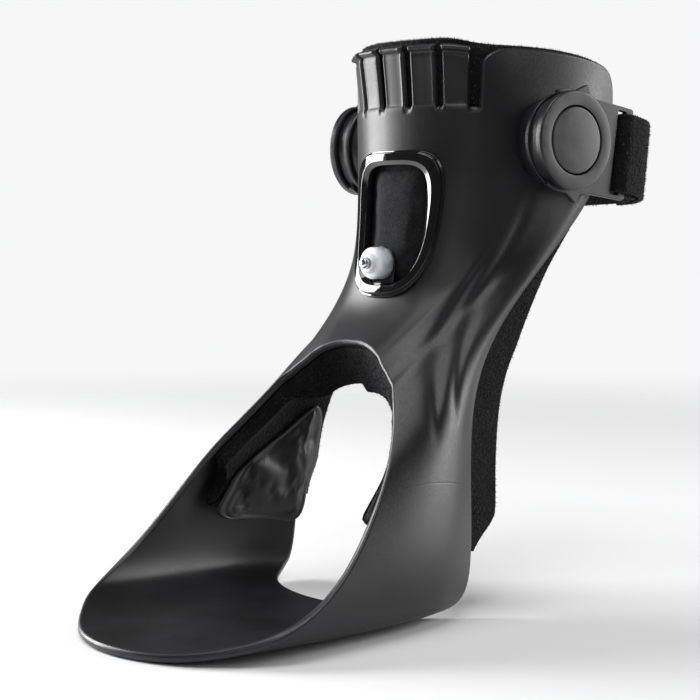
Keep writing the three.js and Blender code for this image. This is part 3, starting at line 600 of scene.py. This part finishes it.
# Window frame: a raised glossy ring with an outer lip and a chamfered inner edge.
bezelShape = {"halfRows": 1.86, "middle": 2.07, "halfColumns": 1.05, "powerTop": 4, "powerFoot": 3.4,
              "steps": 300,
              "rowMm": 11.3, "columnMm": 26}
bezelSection = rounded([(0, 0.25), (0, 0.9, 0.2), (0.7, 1.05, 0.15), (1.1, 2.1, 0.4), (4.4, 2.2, 0.35),
                        (6.05, 0.7, 0.3), (6.2, -1.8, 0.1), (5.4, -1.8), (5.3, 0.25)], 5, True)


def bezelPoint(angle, inset):
    shape = bezelShape
    c, s = np.cos(angle), np.sin(angle)
    bend = 2 / np.where(s > 0, shape["powerTop"], shape["powerFoot"])
    u = (shape["halfRows"] - inset / shape["rowMm"]) * np.sign(c) * np.abs(c) ** bend
    v = shape["middle"] + (shape["halfColumns"] - inset / shape["columnMm"]) * np.sign(s) * np.abs(s) ** bend
    return u, v


def buildBezel():
    steps, count = bezelShape["steps"], len(bezelSection)
    t = np.arange(steps) / steps * 2 * math.pi
    t = t - 0.35 * np.sin(4 * t) * 0.5
    points = []
    for inset, height in bezelSection:
        u, v = bezelPoint(t, inset)
        points.append(over(u, v, height))
    points = np.stack(points, 1).reshape(-1, 3)
    faces = []
    for i in range(steps):
        for j in range(count):
            a, b = i * count + j, ((i + 1) % steps) * count + j
            c, d = ((i + 1) % steps) * count + (j + 1) % count, i * count + (j + 1) % count
            faces.append((a, b, c, d))
    return meshPiece("window_frame", points, faces, finish["gloss"])


settle(buildBezel(), "brace", "gloss_plastic", "window_bezel")


# Soft pieces swell under pressure with their welded border held.
def inflate(piece, held, settings):
    mesh = piece.data
    start = np.zeros(len(mesh.vertices) * 3, np.float32)
    mesh.vertices.foreach_get("co", start)
    start = start.reshape(-1, 3)
    group = piece.vertex_groups.new(name="held")
    for index in np.nonzero(held)[0]:
        group.add([int(index)], 1.0, "ADD")
    modifier = piece.modifiers.new("swell", "CLOTH")
    cloth = modifier.settings
    cloth.quality = 6
    cloth.mass = 0.15
    cloth.tension_stiffness = cloth.compression_stiffness = 12
    cloth.shear_stiffness = 5
    cloth.bending_stiffness = settings["bending"]
    cloth.vertex_group_mass = "held"
    cloth.use_pressure = True
    cloth.uniform_pressure_force = settings["pressure"]
    cloth.shrink_min = -settings["slack"]
    cloth.effector_weights.gravity = 0
    modifier.collision_settings.use_collision = False
    for step in range(1, 21):
        scene.frame_set(step)
    evaluated = piece.evaluated_get(bpy.context.evaluated_depsgraph_get())
    moved = np.zeros(len(start) * 3, np.float32)
    evaluated.data.vertices.foreach_get("co", moved)
    shift = moved.reshape(-1, 3) - start
    length = np.linalg.norm(shift, axis=1, keepdims=True)
    shift *= np.minimum(1, settings["capMm"] * mm / np.maximum(length, 1e-9))
    piece.modifiers.remove(modifier)
    mesh.vertices.foreach_set("co", (start + shift).ravel())
    mesh.update()
    scene.frame_set(1)
    print(piece.name, "swelled by up to", round(float(length.max()) * 1000, 2), "mm")


def subdivide(piece, levels=1):
    modifier = piece.modifiers.new("soften", "SUBSURF")
    modifier.levels = modifier.render_levels = levels
    return piece


# Air cell: a flat fabric-faced bladder whose middle stands up into the window.
cellShape = {"rows": (-1.72, 1.72), "columns": (1.02, 3.08), "front": -3.4, "thick": 2.6, "rise": 2.3,
             "pressure": 4, "slack": 0.02, "bending": 0.4, "capMm": 0.5}


def buildCell():
    shape = cellShape
    u = spaced(shape["rows"], 0.11)[:, None]
    v = spaced(shape["columns"], 0.05)[None, :]
    u, v = np.broadcast_arrays(u, v)
    swell = np.clip(1 - (u / 1.22) ** 4, 0, 1) * np.clip(1 - ((v - bezelShape["middle"]) / 0.74) ** 4, 0, 1)
    edge = np.minimum((1.72 - np.abs(u)) * 11.3, np.minimum(v - 1.02, 3.08 - v) * 26)
    cut = fillet(np.maximum(edge, 0), 1.1)
    outer = over(u, v, shape["front"] + shape["rise"] * np.sqrt(swell) - cut)
    inner = over(u, v, shape["front"] - shape["thick"] + cut)
    points, faces, used = gridSolid(outer, inner)
    held = np.concatenate([(swell < 0.02).ravel(), np.ones(u.size, bool)])[used]
    piece = meshPiece("window_air_cell", points, faces, finish["cell"])
    inflate(piece, held, shape)
    return subdivide(piece)


cell = settle(buildCell(), "brace", "cell_fabric", "air_cell")


# Air valve: tab plate on the cell, milky stub and spring-loaded pin, all along -Y.
valveShape = {"face": 78.6, "height": 126.0, "plate": 1.3}
stubBack = valveShape["face"] - 1.6


def alongValve(points, back):
    return np.stack([points[:, 0], back - points[:, 2], valveShape["height"] + points[:, 1]], 1)


def curveSolid(name, loops, half, bevel):
    curve = bpy.data.curves.new(name, "CURVE")
    curve.dimensions, curve.fill_mode = "2D", "BOTH"
    curve.extrude, curve.bevel_depth = (half - bevel) * mm, bevel * mm
    curve.offset, curve.bevel_resolution = -bevel * mm, 2
    for loop in loops:
        line = curve.splines.new("POLY")
        line.points.add(len(loop) - 1)
        line.use_cyclic_u = True
        for point, (x, y) in zip(line.points, loop):
            point.co = (x * mm, y * mm, 0, 1)
    holder = bpy.data.objects.new(name, curve)
    scene.collection.objects.link(holder)
    bpy.context.view_layer.update()
    mesh = bpy.data.meshes.new_from_object(holder.evaluated_get(bpy.context.evaluated_depsgraph_get()))
    bpy.data.objects.remove(holder)
    work = bmesh.new()
    work.from_mesh(mesh)
    bmesh.ops.remove_doubles(work, verts=work.verts, dist=2e-6)
    bmesh.ops.recalc_face_normals(work, faces=work.faces)
    points = np.array([v.co for v in work.verts]) / mm
    faces = [[v.index for v in f.verts] for f in work.faces]
    work.free()
    return points, faces


def sharpen(piece, angle=38):
    modifier = piece.modifiers.new("facets", "WEIGHTED_NORMAL")
    modifier.keep_sharp = True
    mesh = piece.data
    mesh.set_sharp_from_angle(angle=math.radians(angle))
    return piece


plateOutline = rounded([(-5.6, -7.4, 1.8), (5.6, -7.4, 1.8), (6.3, 0)] +
                       [(6.3 * math.cos(a), 6.3 * math.sin(a)) for a in np.linspace(0.05, math.pi - 0.05,
                                                                                    40)] +
                       [(-6.3, 0)], 6, True)
points, faces = curveSolid("plate", [plateOutline], 0.65, 0.25)
points[:, 2] += 0.65
plate = meshPiece("valve_plate", alongValve(points, valveShape["face"]), faces, finish["gloss"])
settle(sharpen(plate), "brace", "disc_plastic", "valve_base")
stubProfile = rounded([(0, 0), (6.0, 0), (6.0, 6.2, 1.6), (3.6, 6.6, 0.5), (3.5, 8.2, 0.7), (2.1, 8.2, 0.3),
                       (2.1, 3.2), (0, 3.2)], 6)
points, faces = turned(stubProfile, 72)
settle(meshPiece("valve_stub", alongValve(points, stubBack), faces, finish["silicone"]),
       "brace", "silicone", "valve_body")
pinProfile = rounded([(0, 5), (1.5, 5), (1.5, 8.5, 0.2), (1.9, 8.8, 0.3), (1.9, 10.5, 0.7), (0, 10.75)], 5)
points, faces = turned(pinProfile, 56)
settle(meshPiece("valve_needle", alongValve(points, stubBack), faces, finish["metal"]),
       "valve_plunger", "pin_metal", "valve_pin")
print("window and valve")


# Liner: velour-faced foam behind the shell, standing above the tabs and behind the side legs.
linerShape = {"endLateral": 15.7, "endMedial": 15.1, "front": -3.4, "pocket": 3.0, "back": -8.6, "top": 1.8,
              "bridge": 13.0, "edgeRadius": 1.0, "rowStep": 0.14, "waveMm": 0.35}


def linerEnd(u):
    return np.where(u > 0, linerShape["endLateral"], linerShape["endMedial"])


def frontColumn(u):
    return np.where(u > 0, 1.5 * smooth(u, 14.3, 15.5), 1.1 * smooth(-u, 13.2, 14.8))


def rearReach(u):
    m = np.abs(u)
    lateral = linerShape["top"] + 7 * smooth(m, 7.8, 10) + 10.5 * smooth(m, 9.8, 12)
    medial = linerShape["top"] + 5.5 * smooth(m, 11.4, 12.8)
    return np.where(u > 0, lateral, medial) * (1 - 0.6 * smooth(m, linerEnd(u) - 0.8, linerEnd(u)))


# The free rear edge runs on along the shell at the cuff, and straight back beside the ankle.
def rearWay(u, v):
    along = over(u, v, 0.0, 1.0) - over(u, v, 0.0)
    part = smooth(np.abs(u), 8.5, 11.5)[..., None]
    way = along * (1 - part) + np.array([0, 0.99, -0.14]) * part
    return way / np.linalg.norm(way, axis=-1, keepdims=True)


def ripples(p, size, seed):
    q = p / size
    return (np.sin(q[..., 0] * 1.7 + 2.1 * np.sin(q[..., 2] * 0.9 + seed))
            + np.sin(q[..., 1] * 2.3 + q[..., 2] * 1.3 + seed)
            + np.sin(q[..., 2] * 3.1 - q[..., 0] * 1.1 + 1.7 * seed)) / 3


def buildLiner():
    shape = linerShape
    rows = spaced([-shape["endMedial"], -13, -8, -2.5, -1.8, 1.8, 2.5, 8, 10, 13, shape["endLateral"]],
                  shape["rowStep"])
    t = np.concatenate([[-1, -0.97, -0.92, -0.84], np.linspace(-0.72, -0.1, 8), np.linspace(0, 1, 44),
                        1 + np.linspace(0.06, 0.9, 13), [1.94, 1.97, 1.99, 2]])
    u = np.repeat(rows[:, None], len(t), 1)
    m = np.abs(u)
    start = frontColumn(u)
    v = start + (5 - start) * np.clip(t, 0, 1)[None, :]
    pocket = shape["pocket"] * (1 - smooth(m, 1.8, 2.5)) * smooth(v, 0.55, 0.95) * (1 - smooth(v, 3.15, 3.6))
    bridge = shape["bridge"] * np.where(u > 0, 1, 0.75) * (1 - smooth(m, 4.5, 10.5))
    hang = np.clip(-t, 0, 1)[None, :] * (bridge + 0.8)
    past = (np.clip(t - 1, 0, 1)[None, :] * rearReach(u))[..., None] * rearWay(u, v)
    hangWay = np.array([0, 0.3, -0.95])

    def at(height):
        return over(u, v, height) + past + hang[..., None] * hangWay

    middle = at(shape["front"])
    span = np.linalg.norm(np.diff(middle, axis=1), axis=2)
    run = np.concatenate([np.zeros((len(rows), 1)), np.cumsum(span, 1)], 1)
    edge = np.minimum(run, run[:, -1:] - run)
    ends = (linerEnd(u) - m) * 18
    cut = fillet(np.minimum(edge, ends), shape["edgeRadius"])
    wave = shape["waveMm"] * ripples(middle, 9, 1.0)
    free = np.broadcast_to(np.clip(-t, 0, 1) + np.clip(t - 1, 0, 1), u.shape)
    outer = at(shape["front"] - pocket - cut - 0.25 * (1 + wave) * smooth(free, 0, 0.3))
    inner = at(shape["back"] + cut + wave * 0.8)
    points, faces, used = gridSolid(outer, inner)
    showing = smooth(free, 0.02, 0.2)
    pile = np.concatenate([showing.ravel(), showing.ravel()])[used]
    return meshPiece("velour_liner", points, faces, finish["velour"], {"pile": pile})


liner = settle(buildLiner(), "brace", "velour", "liner")
print("liner", len(liner.data.polygons))


# Ankle cushions: film-covered pads with a flat welded border, swelled by cloth simulation.
padShape = {"thick": 4.0, "border": 2.6, "borderThick": 1.1, "pressure": 3, "slack": 0.012, "bending": 1.5,
            "capMm": 1.3}


def buildPad(name, side):
    shape = padShape
    s, t = np.broadcast_arrays(side * spaced([-1, 1], 0.045)[None, :], spaced([-0.985, 0.985], 0.045)[:,
                                                                                                      None])
    bow = (1 - np.abs(t) ** 4) ** 0.25
    a = 0.5 + 0.5 * s * bow
    top, low = 14.3 - 1.3 * a, 15.5 + 0.25 * a
    u = side * (top + (low - top) * (0.5 + 0.5 * t))
    start, reach = frontColumn(u) + 0.15, np.minimum(rearReach(u), 9) - 1.5
    flat = 55 * (1 - start / 5)
    run = a * (flat + reach)
    v = start + (5 - start) * np.minimum(1, run / flat)
    beyond = np.maximum(0, run - flat)[..., None] * rearWay(u, v)
    edge = np.minimum((1 - np.abs(s)) * 21 * np.maximum(bow, 0.3), (0.985 - np.abs(t)) * 22)
    dome = smooth(edge, shape["border"], shape["border"] + 6) ** 0.6
    weld = bump(edge, shape["border"] - 0.3, 0.45)
    height = -8.6 - 0.7
    thick = shape["borderThick"] - 0.35 * weld + (shape["thick"] - shape["borderThick"] - 1.3) * dome
    thick -= fillet(np.maximum(edge, 0), 0.5)
    back = over(u, v, height) + beyond
    front = over(u, v, height - thick) + beyond
    points, faces, used = gridSolid(back, front)
    held = np.concatenate([np.ones(u.size, bool), (edge < shape["border"] + 0.2).ravel()])[used]
    weldMm = np.concatenate([edge.ravel() + 9, edge.ravel()])[used]
    piece = meshPiece(name, points, faces, finish["leather"], {"weldMm": weldMm})
    inflate(piece, held, shape)
    return subdivide(piece)


for side, label in ((1, "lateral"), (-1, "medial")):
    pad = settle(buildPad(f"{label}_cushion", side), "brace", "leatherette", f"{label}_ankle_pad")
print("cushions")


# Strap swivels: base, drum, face ring and cap turned about one axis, and the frame in the drum's groove.
discShape = {"seatX": 45.9, "hingeY": 121.8, "hingeZ": 171.5, "turn": 8.0, "frameX": 52.3, "depth": 11.8,
             "radius": 18.4, "hub": 16.6, "tilt": 8.0, "slotNear": 24.4, "slotFar": 28.8, "plateEnd": 32.6}
turnAngle = math.radians(discShape["turn"])
tiltAngle = math.radians(discShape["tilt"])
frameLift = (discShape["frameX"] - discShape["seatX"]) / math.cos(turnAngle)
low, high, depth = frameLift - 1.9, frameLift + 1.9, discShape["depth"]


def onDisc(points, faces, side):
    out = np.array([side * math.cos(turnAngle), -math.sin(turnAngle), 0])
    back = np.array([side * math.sin(turnAngle), math.cos(turnAngle), 0])
    origin = np.array([side * discShape["seatX"], discShape["hingeY"] + frameLift * math.sin(turnAngle),
                       discShape["hingeZ"]])
    placed = origin + points[:, :1] * back + points[:, 1:2] * np.array([0, 0, 1]) + points[:, 2:] * out
    return placed, [f[::-1] for f in faces] if side < 0 else faces


profiles = {
    "base": rounded([(0, -2.5), (16.2, -2.5), (16.2, 2.1, 0.5), (0, 2.1)]),
    "drum": rounded([(0, 2.4), (17.5, 2.4, 0.3), (17.9, 3.0, 0.4), (17.9, low, 0.3), (16.6, low, 0.15),
                     (16.6, high, 0.15), (12.6, high), (12.6, depth - 2.2), (0, depth - 2.2)]),
    "ring": rounded([(12.9, high + 0.3), (17.8, high + 0.3, 0.2), (18.4, high + 0.8, 0.3), (18.4, depth, 0.7),
                     (12.9, depth, 0.35)], 6, True),
    "cap": rounded([(0, depth - 1.9), (12.4, depth - 1.9), (12.4, depth, 0.6), (0, depth)], 6),
}


# Frame outline: a C-shaped collar, two pointed ears and a plate with a slot for the strap.
def frameLoops():
    polar = lambda radius, degrees: (radius * math.cos(math.radians(degrees)),
                                     radius * math.sin(math.radians(degrees)))
    inner, arm, ear, tip = 17.1, 19.3, 73, 115
    outline = [polar(inner, a) + (0.4 if abs(a) == tip else 0,) for a in np.linspace(tip, -tip, 70)]
    outline += [polar(arm, -a) + (0.5 if a == tip else 0,) for a in np.linspace(tip, ear + 12.6, 12)]
    outline += [polar(23.4, -ear) + (0.5,), polar(20.6, -ear + 9) + (1.2,), (12, -17.9, 0.6),
                (discShape["plateEnd"], -17.6, 1.2)]
    mirrored = [(x, -y, *r) for x, y, *r in outline[70:]][::-1]
    loop = rounded(outline + mirrored, 5, True)
    near, far = discShape["slotNear"], discShape["slotFar"]
    slot = rounded([(near, -15.9, 0.6), (near, 15.9, 0.6), (far, 15.9, 0.6), (far, -15.9, 0.6)], 4, True)
    return [loop, slot]


for side, label in ((1, "lateral"), (-1, "medial")):
    for part, profile in profiles.items():
        points, faces = onDisc(*turned(profile, 128, part == "ring"), side)
        settle(meshPiece(f"disc_{part}_{label}", points, faces, finish["disc"]), "brace", "disc_plastic",
               f"buckle_{part}_{label}")
    points, faces = curveSolid("frame", frameLoops(), 1.1, 0.3)
    c, s = math.cos(-tiltAngle), math.sin(-tiltAngle)
    points = np.stack([points[:, 0] * c - points[:, 1] * s, points[:, 0] * s + points[:, 1] * c,
                       points[:, 2] + frameLift], 1)
    points, faces = onDisc(points, faces, side)
    plate = sharpen(meshPiece(f"strap_bail_{label}", points, faces, finish["disc"]))
    settle(plate, "strap_loop", "disc_plastic", f"strap_frame_{label}")
print("swivels")


# Geometry Nodes helpers: a tree with named inputs, and its result as a plain mesh.
def startTree(name, inputs):
    tree = bpy.data.node_groups.new(name, "GeometryNodeTree")
    tree.interface.new_socket("Geometry", in_out="INPUT", socket_type="NodeSocketGeometry")
    tree.interface.new_socket("Geometry", in_out="OUTPUT", socket_type="NodeSocketGeometry")
    for label, kind in inputs.items():
        tree.interface.new_socket(label, in_out="INPUT", socket_type="NodeSocket" + kind)
    return tree, addNode(tree, "NodeGroupInput").outputs


def endTree(tree, geometry, material):
    real = addNode(tree, "GeometryNodeRealizeInstances", {"Geometry": geometry}).outputs[0]
    done = addNode(tree, "GeometryNodeSetMaterial", {"Geometry": real, "Material": material}).outputs[0]
    addNode(tree, "NodeGroupOutput", {"Geometry": done})
    return tree


def grow(name, source, tree, values):
    modifier = source.modifiers.new(tree.name, "NODES")
    modifier.node_group = tree
    for item in tree.interface.items_tree:
        if item.in_out == "INPUT" and item.name in values:
            modifier[item.identifier] = values[item.name]
    bpy.context.view_layer.update()
    made = source.evaluated_get(bpy.context.evaluated_depsgraph_get())
    mesh = bpy.data.meshes.new_from_object(made)
    source.modifiers.remove(modifier)
    mesh.name = name
    piece = bpy.data.objects.new(name, mesh)
    scene.collection.objects.link(piece)
    mesh.polygons.foreach_set("use_smooth", [True] * len(mesh.polygons))
    return piece


# A band of even thickness swept along a flat run of points.
def bandTree():
    tree, given = startTree("sweptBand", {"Width": "Float", "Thickness": "Float", "Edge": "Float",
                                          "Material": "Material"})
    section = addNode(tree, "GeometryNodeCurvePrimitiveQuadrilateral",
                      {"Width": given["Thickness"], "Height": given["Width"]})
    rounded = addNode(tree, "GeometryNodeFilletCurve", {"Curve": section.outputs[0], "Radius": given["Edge"],
                                                        "Count": 4, "Limit Radius": True}, mode="POLY")
    swept = addNode(tree, "GeometryNodeCurveToMesh", {"Curve": given["Geometry"],
                                                      "Profile Curve": rounded.outputs[0],
                                                      "Fill Caps": True})
    return endTree(tree, swept.outputs[0], given["Material"])


# Loose fibres standing off a fabric, thickest where its pile attribute says so.
def fibreTree():
    tree, given = startTree("pileFibres", {"Density": "Float", "Length": "Float", "Thickness": "Float",
                                           "Seed": "Int", "Material": "Material"})
    mask = addNode(tree, "GeometryNodeInputNamedAttribute", {"Name": "pile"},
                   data_type="FLOAT").outputs["Attribute"]
    density = addNode(tree, "ShaderNodeMath", {0: mask, 1: given["Density"]}, operation="MULTIPLY").outputs[0]
    dots = addNode(tree, "GeometryNodeDistributePointsOnFaces", {"Mesh": given["Geometry"],
                                                                 "Density": density,
                                                                 "Seed": given["Seed"]},
                   distribute_method="RANDOM")
    fibre = addNode(tree, "GeometryNodeMeshCone", {"Vertices": 3, "Side Segments": 1, "Radius Top": 0.00001,
                                                   "Radius Bottom": given["Thickness"],
                                                   "Depth": given["Length"]},
                    fill_type="NONE")
    lean = addNode(tree, "FunctionNodeRandomValue", {0: (-0.9, -0.9, 0.0), 1: (0.9, 0.9, 6.28),
                                                     "Seed": given["Seed"]},
                   data_type="FLOAT_VECTOR").outputs[0]
    turn = addNode(tree, "FunctionNodeRotateRotation", {0: dots.outputs["Rotation"], 1: lean},
                   rotation_space="LOCAL")
    size = addNode(tree, "FunctionNodeRandomValue", {2: 0.5, 3: 1.2, "Seed": given["Seed"]},
                   data_type="FLOAT").outputs[1]
    stood = addNode(tree, "GeometryNodeInstanceOnPoints", {"Points": dots.outputs["Points"],
                                                           "Instance": fibre.outputs["Mesh"],
                                                           "Rotation": turn.outputs[0], "Scale": size})
    return endTree(tree, stood.outputs[0], given["Material"])


# Lock stitches laid along a thread line.
def stitchTree():
    tree, given = startTree("lockStitches", {"Pitch": "Float", "Length": "Float", "Thickness": "Float",
                                             "Material": "Material"})
    dots = addNode(tree, "GeometryNodeCurveToPoints", {"Curve": given["Geometry"], "Length": given["Pitch"]},
                   mode="LENGTH")
    bead = addNode(tree, "GeometryNodeMeshUVSphere", {"Segments": 6, "Rings": 5, "Radius": 0.5})
    size = addNode(tree, "ShaderNodeCombineXYZ", {0: given["Thickness"], 1: given["Thickness"],
                                                  2: given["Length"]})
    laid = addNode(tree, "GeometryNodeInstanceOnPoints", {"Points": dots.outputs["Points"],
                                                          "Instance": bead.outputs["Mesh"],
                                                          "Rotation": dots.outputs["Rotation"],
                                                          "Scale": size.outputs[0]})
    return endTree(tree, laid.outputs[0], given["Material"])


def lineObject(name, runs, cyclic=False):
    curve = bpy.data.curves.new(name, "CURVE")
    curve.dimensions = "3D"
    for run in runs:
        line = curve.splines.new("POLY")
        line.points.add(len(run) - 1)
        line.use_cyclic_u = cyclic
        for point, p in zip(line.points, run):
            point.co = (p[0] * mm, p[1] * mm, (p[2] if len(p) > 2 else 0) * mm, 1)
    holder = bpy.data.objects.new(name, curve)
    scene.collection.objects.link(holder)
    return holder


# Calf strap: one band round the back of the leg, folded through each frame and back along itself.
strapShape = {"width": 30.0, "thick": 1.8, "fold": 3.1, "back": 60.0, "tail": 36.0, "hook": 20.0,
              "fibres": 1.1e6, "fibreMm": 0.75}
barBack = (discShape["slotFar"] + discShape["plateEnd"]) / 2 * math.cos(turnAngle)
barX = discShape["frameX"] + barBack * math.tan(turnAngle)


def resampled(points, count):
    step = np.linalg.norm(np.diff(points, axis=0), axis=1)
    at = np.concatenate([[0], np.cumsum(step)])
    want = np.linspace(0, at[-1], count)
    return np.stack([np.interp(want, at, points[:, k]) for k in range(points.shape[1])], 1)


def throughPoints(points, perSpan=60):
    p = np.vstack([points[:1], points, points[-1:]])
    out = []
    for n in range(1, len(p) - 2):
        t = np.linspace(0, 1, perSpan, endpoint=False)[:, None]
        a, b, c, d = p[n - 1], p[n], p[n + 1], p[n + 2]
        v0, v1 = (c - a) / 2, (d - b) / 2
        out.append((2 * b - 2 * c + v0 + v1) * t ** 3 + (-3 * b + 3 * c - 2 * v0 - v1) * t ** 2 + v0 * t + b)
    return np.vstack(out + [points[-1:]])


def strapRun():
    shape = strapShape
    fold, bar = shape["fold"], barBack
    side = np.array([[barX - fold, bar - 0.5], [barX - fold - 0.2, bar + 4], [barX - 4.2, bar + 9],
                     [49, bar + 17],
                     [40, bar + 23.5], [24, shape["back"] - 2.4], [9, shape["back"] - 0.3]])
    inside = resampled(throughPoints(np.vstack([side, (side * [-1, 1])[::-1]])), 260)
    step = np.gradient(inside, axis=0)
    outward = np.stack([step[:, 1], -step[:, 0]], 1) / np.linalg.norm(step, axis=1, keepdims=True)
    length = np.concatenate([[0], np.cumsum(np.linalg.norm(np.diff(inside, axis=0), axis=1))])
    near = length < shape["tail"]
    gap = 2 * fold + (3.9 - 2 * fold) * smooth(length[near], 6, 22)
    tail = (inside[near] + outward[near] * gap[:, None])[::-1]
    angle = (np.arange(18) + 0.5) / 18 * math.pi
    turn = np.stack([barX + fold * np.cos(angle), bar - 0.5 - fold * np.sin(angle)], 1)
    half = np.vstack([tail, turn])
    return np.vstack([half, inside, (half * [-1, 1])[::-1]]), inside, tail


def alongStrap(points):
    c, s = math.cos(tiltAngle), math.sin(tiltAngle)
    x, y, z = points[:, 0], points[:, 1], points[:, 2]
    return np.stack([x, discShape["hingeY"] + y * c + z * s, discShape["hingeZ"] - y * s + z * c], 1)


def intoStrapPlane(piece):
    co = np.array([v.co for v in piece.data.vertices]) / mm
    piece.data.vertices.foreach_set("co", (alongStrap(co) * mm).astype(np.float32).ravel())
    piece.data.update()
    return piece


band, fibres, stitches = bandTree(), fibreTree(), stitchTree()
run, insideRun, tailRun = strapRun()
line = lineObject("strapLine", [run])
strap = intoStrapPlane(grow("pile_strap", line, band, {"Width": strapShape["width"] * mm,
                                                       "Thickness": strapShape["thick"] * mm,
                                                       "Edge": 0.7 * mm, "Material": finish["strap"]}))
bpy.data.objects.remove(line)


def withPile(piece, values=None):
    mesh = piece.data
    attribute = mesh.attributes.get("pile") or mesh.attributes.new("pile", "FLOAT", "POINT")
    attribute.data.foreach_set("value", np.ones(len(mesh.vertices), np.float32) if values is None else values)


withPile(strap)
strapFluff = grow("strap_fluff", strap, fibres, {"Density": strapShape["fibres"],
                                                 "Length": strapShape["fibreMm"] * mm,
                                                 "Thickness": 0.11 * mm, "Seed": 3,
                                                 "Material": finish["strap"]})
linerFluff = grow("liner_fluff", liner, fibres, {"Density": 1.3e6, "Length": 0.7 * mm, "Thickness": 0.11 * mm,
                                                 "Seed": 5,
                                                 "Material": finish["velour"]})
print("fluff", len(strapFluff.data.polygons), len(linerFluff.data.polygons))
settle(strap, "strap_loop", "strap_pile", "calf_strap")
settle(strapFluff, "strap_loop", "strap_pile")
settle(linerFluff, "brace", "velour")

# Hook tabs between the folded ends and the band, sewn to the ends with a box of stitches.
hookCount = int(np.searchsorted(np.cumsum(np.linalg.norm(np.diff(tailRun, axis=0), axis=1)),
                                strapShape["hook"]))
nearest = insideRun[np.linalg.norm(tailRun[:hookCount, None] - insideRun[None], axis=2).argmin(1)]
hookRun = (tailRun[:hookCount] + nearest) / 2
tailStep = np.gradient(tailRun, axis=0)
tailOut = np.stack([-tailStep[:, 1], tailStep[:, 0]], 1) / np.linalg.norm(tailStep, axis=1, keepdims=True)
if float((tailRun[5] + tailOut[5])[0]) < float(tailRun[5][0]):
    tailOut = -tailOut
seam = tailRun + tailOut * 1.05
edgeIn = int(np.searchsorted(np.cumsum(np.linalg.norm(np.diff(tailRun, axis=0), axis=1)), 2.2))
box = [np.append(seam[n], 12.2) for n in range(edgeIn, hookCount)] + \
      [np.append(seam[hookCount - 1], w) for w in np.linspace(12.2, -12.2, 12)] + \
      [np.append(seam[n], -12.2) for n in range(hookCount - 1, edgeIn, -1)] + \
      [np.append(seam[edgeIn], w) for w in np.linspace(-12.2, 12.2, 12)]
for side, label in ((1, "lateral"), (-1, "medial")):
    line = lineObject("hookLine", [hookRun * [side, 1]])
    tab = intoStrapPlane(grow(f"hook_patch_{label}", line, band, {"Width": 28 * mm, "Thickness": 1.1 * mm,
                                                                  "Edge": 0.2 * mm,
                                                                  "Material": finish["hook"]}))
    bpy.data.objects.remove(line)
    settle(tab, "strap_loop", "hook_tape", f"hook_tab_{label}")
    line = lineObject("threadLine", [np.array(box) * [side, 1, 1]])
    sewn = intoStrapPlane(grow(f"tail_stitches_{label}", line, stitches,
                               {"Pitch": 2.6 * mm, "Length": 2.1 * mm,
                                "Thickness": 0.45 * mm, "Material": finish["thread"]}))
    bpy.data.objects.remove(line)
    settle(sewn, "strap_loop", "strap_pile")


# Camera, floor and lights.
cameraData = bpy.data.cameras.new("camera")
cameraData.lens, cameraData.sensor_width = 82.3, 36
cameraData.clip_start, cameraData.clip_end = 0.01, 30
camera = bpy.data.objects.new("camera", cameraData)
scene.collection.objects.link(camera)
camera.location = (0.4193, -0.3593, 0.138)
camera.rotation_mode = "QUATERNION"
camera.rotation_quaternion = Vector((-0.7052, 0.7052, -0.0741)).to_track_quat("-Z", "Y")
scene.camera = camera

# Pale floor that fades into the backdrop.
angles = np.linspace(0, 2 * math.pi, 96, endpoint=False)
floor = meshPiece("floor", [(2500 * math.cos(a), 2500 * math.sin(a), -0.3) for a in angles],
                  [list(range(96))],
                  bpy.data.materials.new("paleFloor"))
floorMaterial = floor.data.materials[0]
floorMaterial.use_nodes = True
tree = floorMaterial.node_tree
bsdf = tree.nodes["Principled BSDF"]
bsdf.inputs["Roughness"].default_value = 0.85
bsdf.inputs["Base Color"].default_value = toLinear("#ededee")
place = tree.nodes.new("ShaderNodeTexCoord").outputs["Object"]
far = addNode(tree, "ShaderNodeVectorMath", {0: place}, operation="LENGTH").outputs["Value"]
fade = addNode(tree, rangeKind, {"Value": far, "From Min": 0.35, "From Max": 1.1, "To Min": 1, "To Max": 0},
               **soft)
tree.links.new(fade.outputs[0], bsdf.inputs["Alpha"])

world = bpy.data.worlds.new("studio")
scene.world = world
world.use_nodes = True
tree = world.node_tree
seen = addNode(tree, "ShaderNodeLightPath").outputs["Is Camera Ray"]
glow = tree.nodes["Background"]
glow.inputs["Color"].default_value = toLinear("#f7f7f8")
# dim as a lamp, white in view
backdrop = addNode(tree, rangeKind, {"Value": seen, "To Min": 0.1, "To Max": 1.0})
tree.links.new(backdrop.outputs[0], glow.inputs["Strength"])


def softbox(name, place, aim, width, height, power, colour="#ffffff"):
    light = bpy.data.lights.new(name, "AREA")
    light.shape, light.size, light.size_y, light.energy = "RECTANGLE", width, height, power
    light.color = toLinear(colour)[:3]
    holder = bpy.data.objects.new(name, light)
    scene.collection.objects.link(holder)
    holder.location = place
    holder.rotation_mode = "QUATERNION"
    holder.rotation_quaternion = (Vector(aim) - Vector(place)).to_track_quat("-Z", "Y")


softbox("leftSoftbox", (-0.85, -0.28, 0.28), (0, 0.08, 0.12), 0.5, 0.9, 20)
softbox("rightSoftbox", (0.62, 0.98, 0.4), (0, 0.08, 0.12), 0.35, 0.8, 9)
softbox("topSoftbox", (0.1, -0.15, 1.1), (0, 0.08, 0.1), 0.7, 0.7, 6)
softbox("fillSoftbox", (0.75, -0.85, 0.7), (0, 0.08, 0.1), 0.5, 0.5, 1.4)
scene.view_settings.view_transform = "Standard"
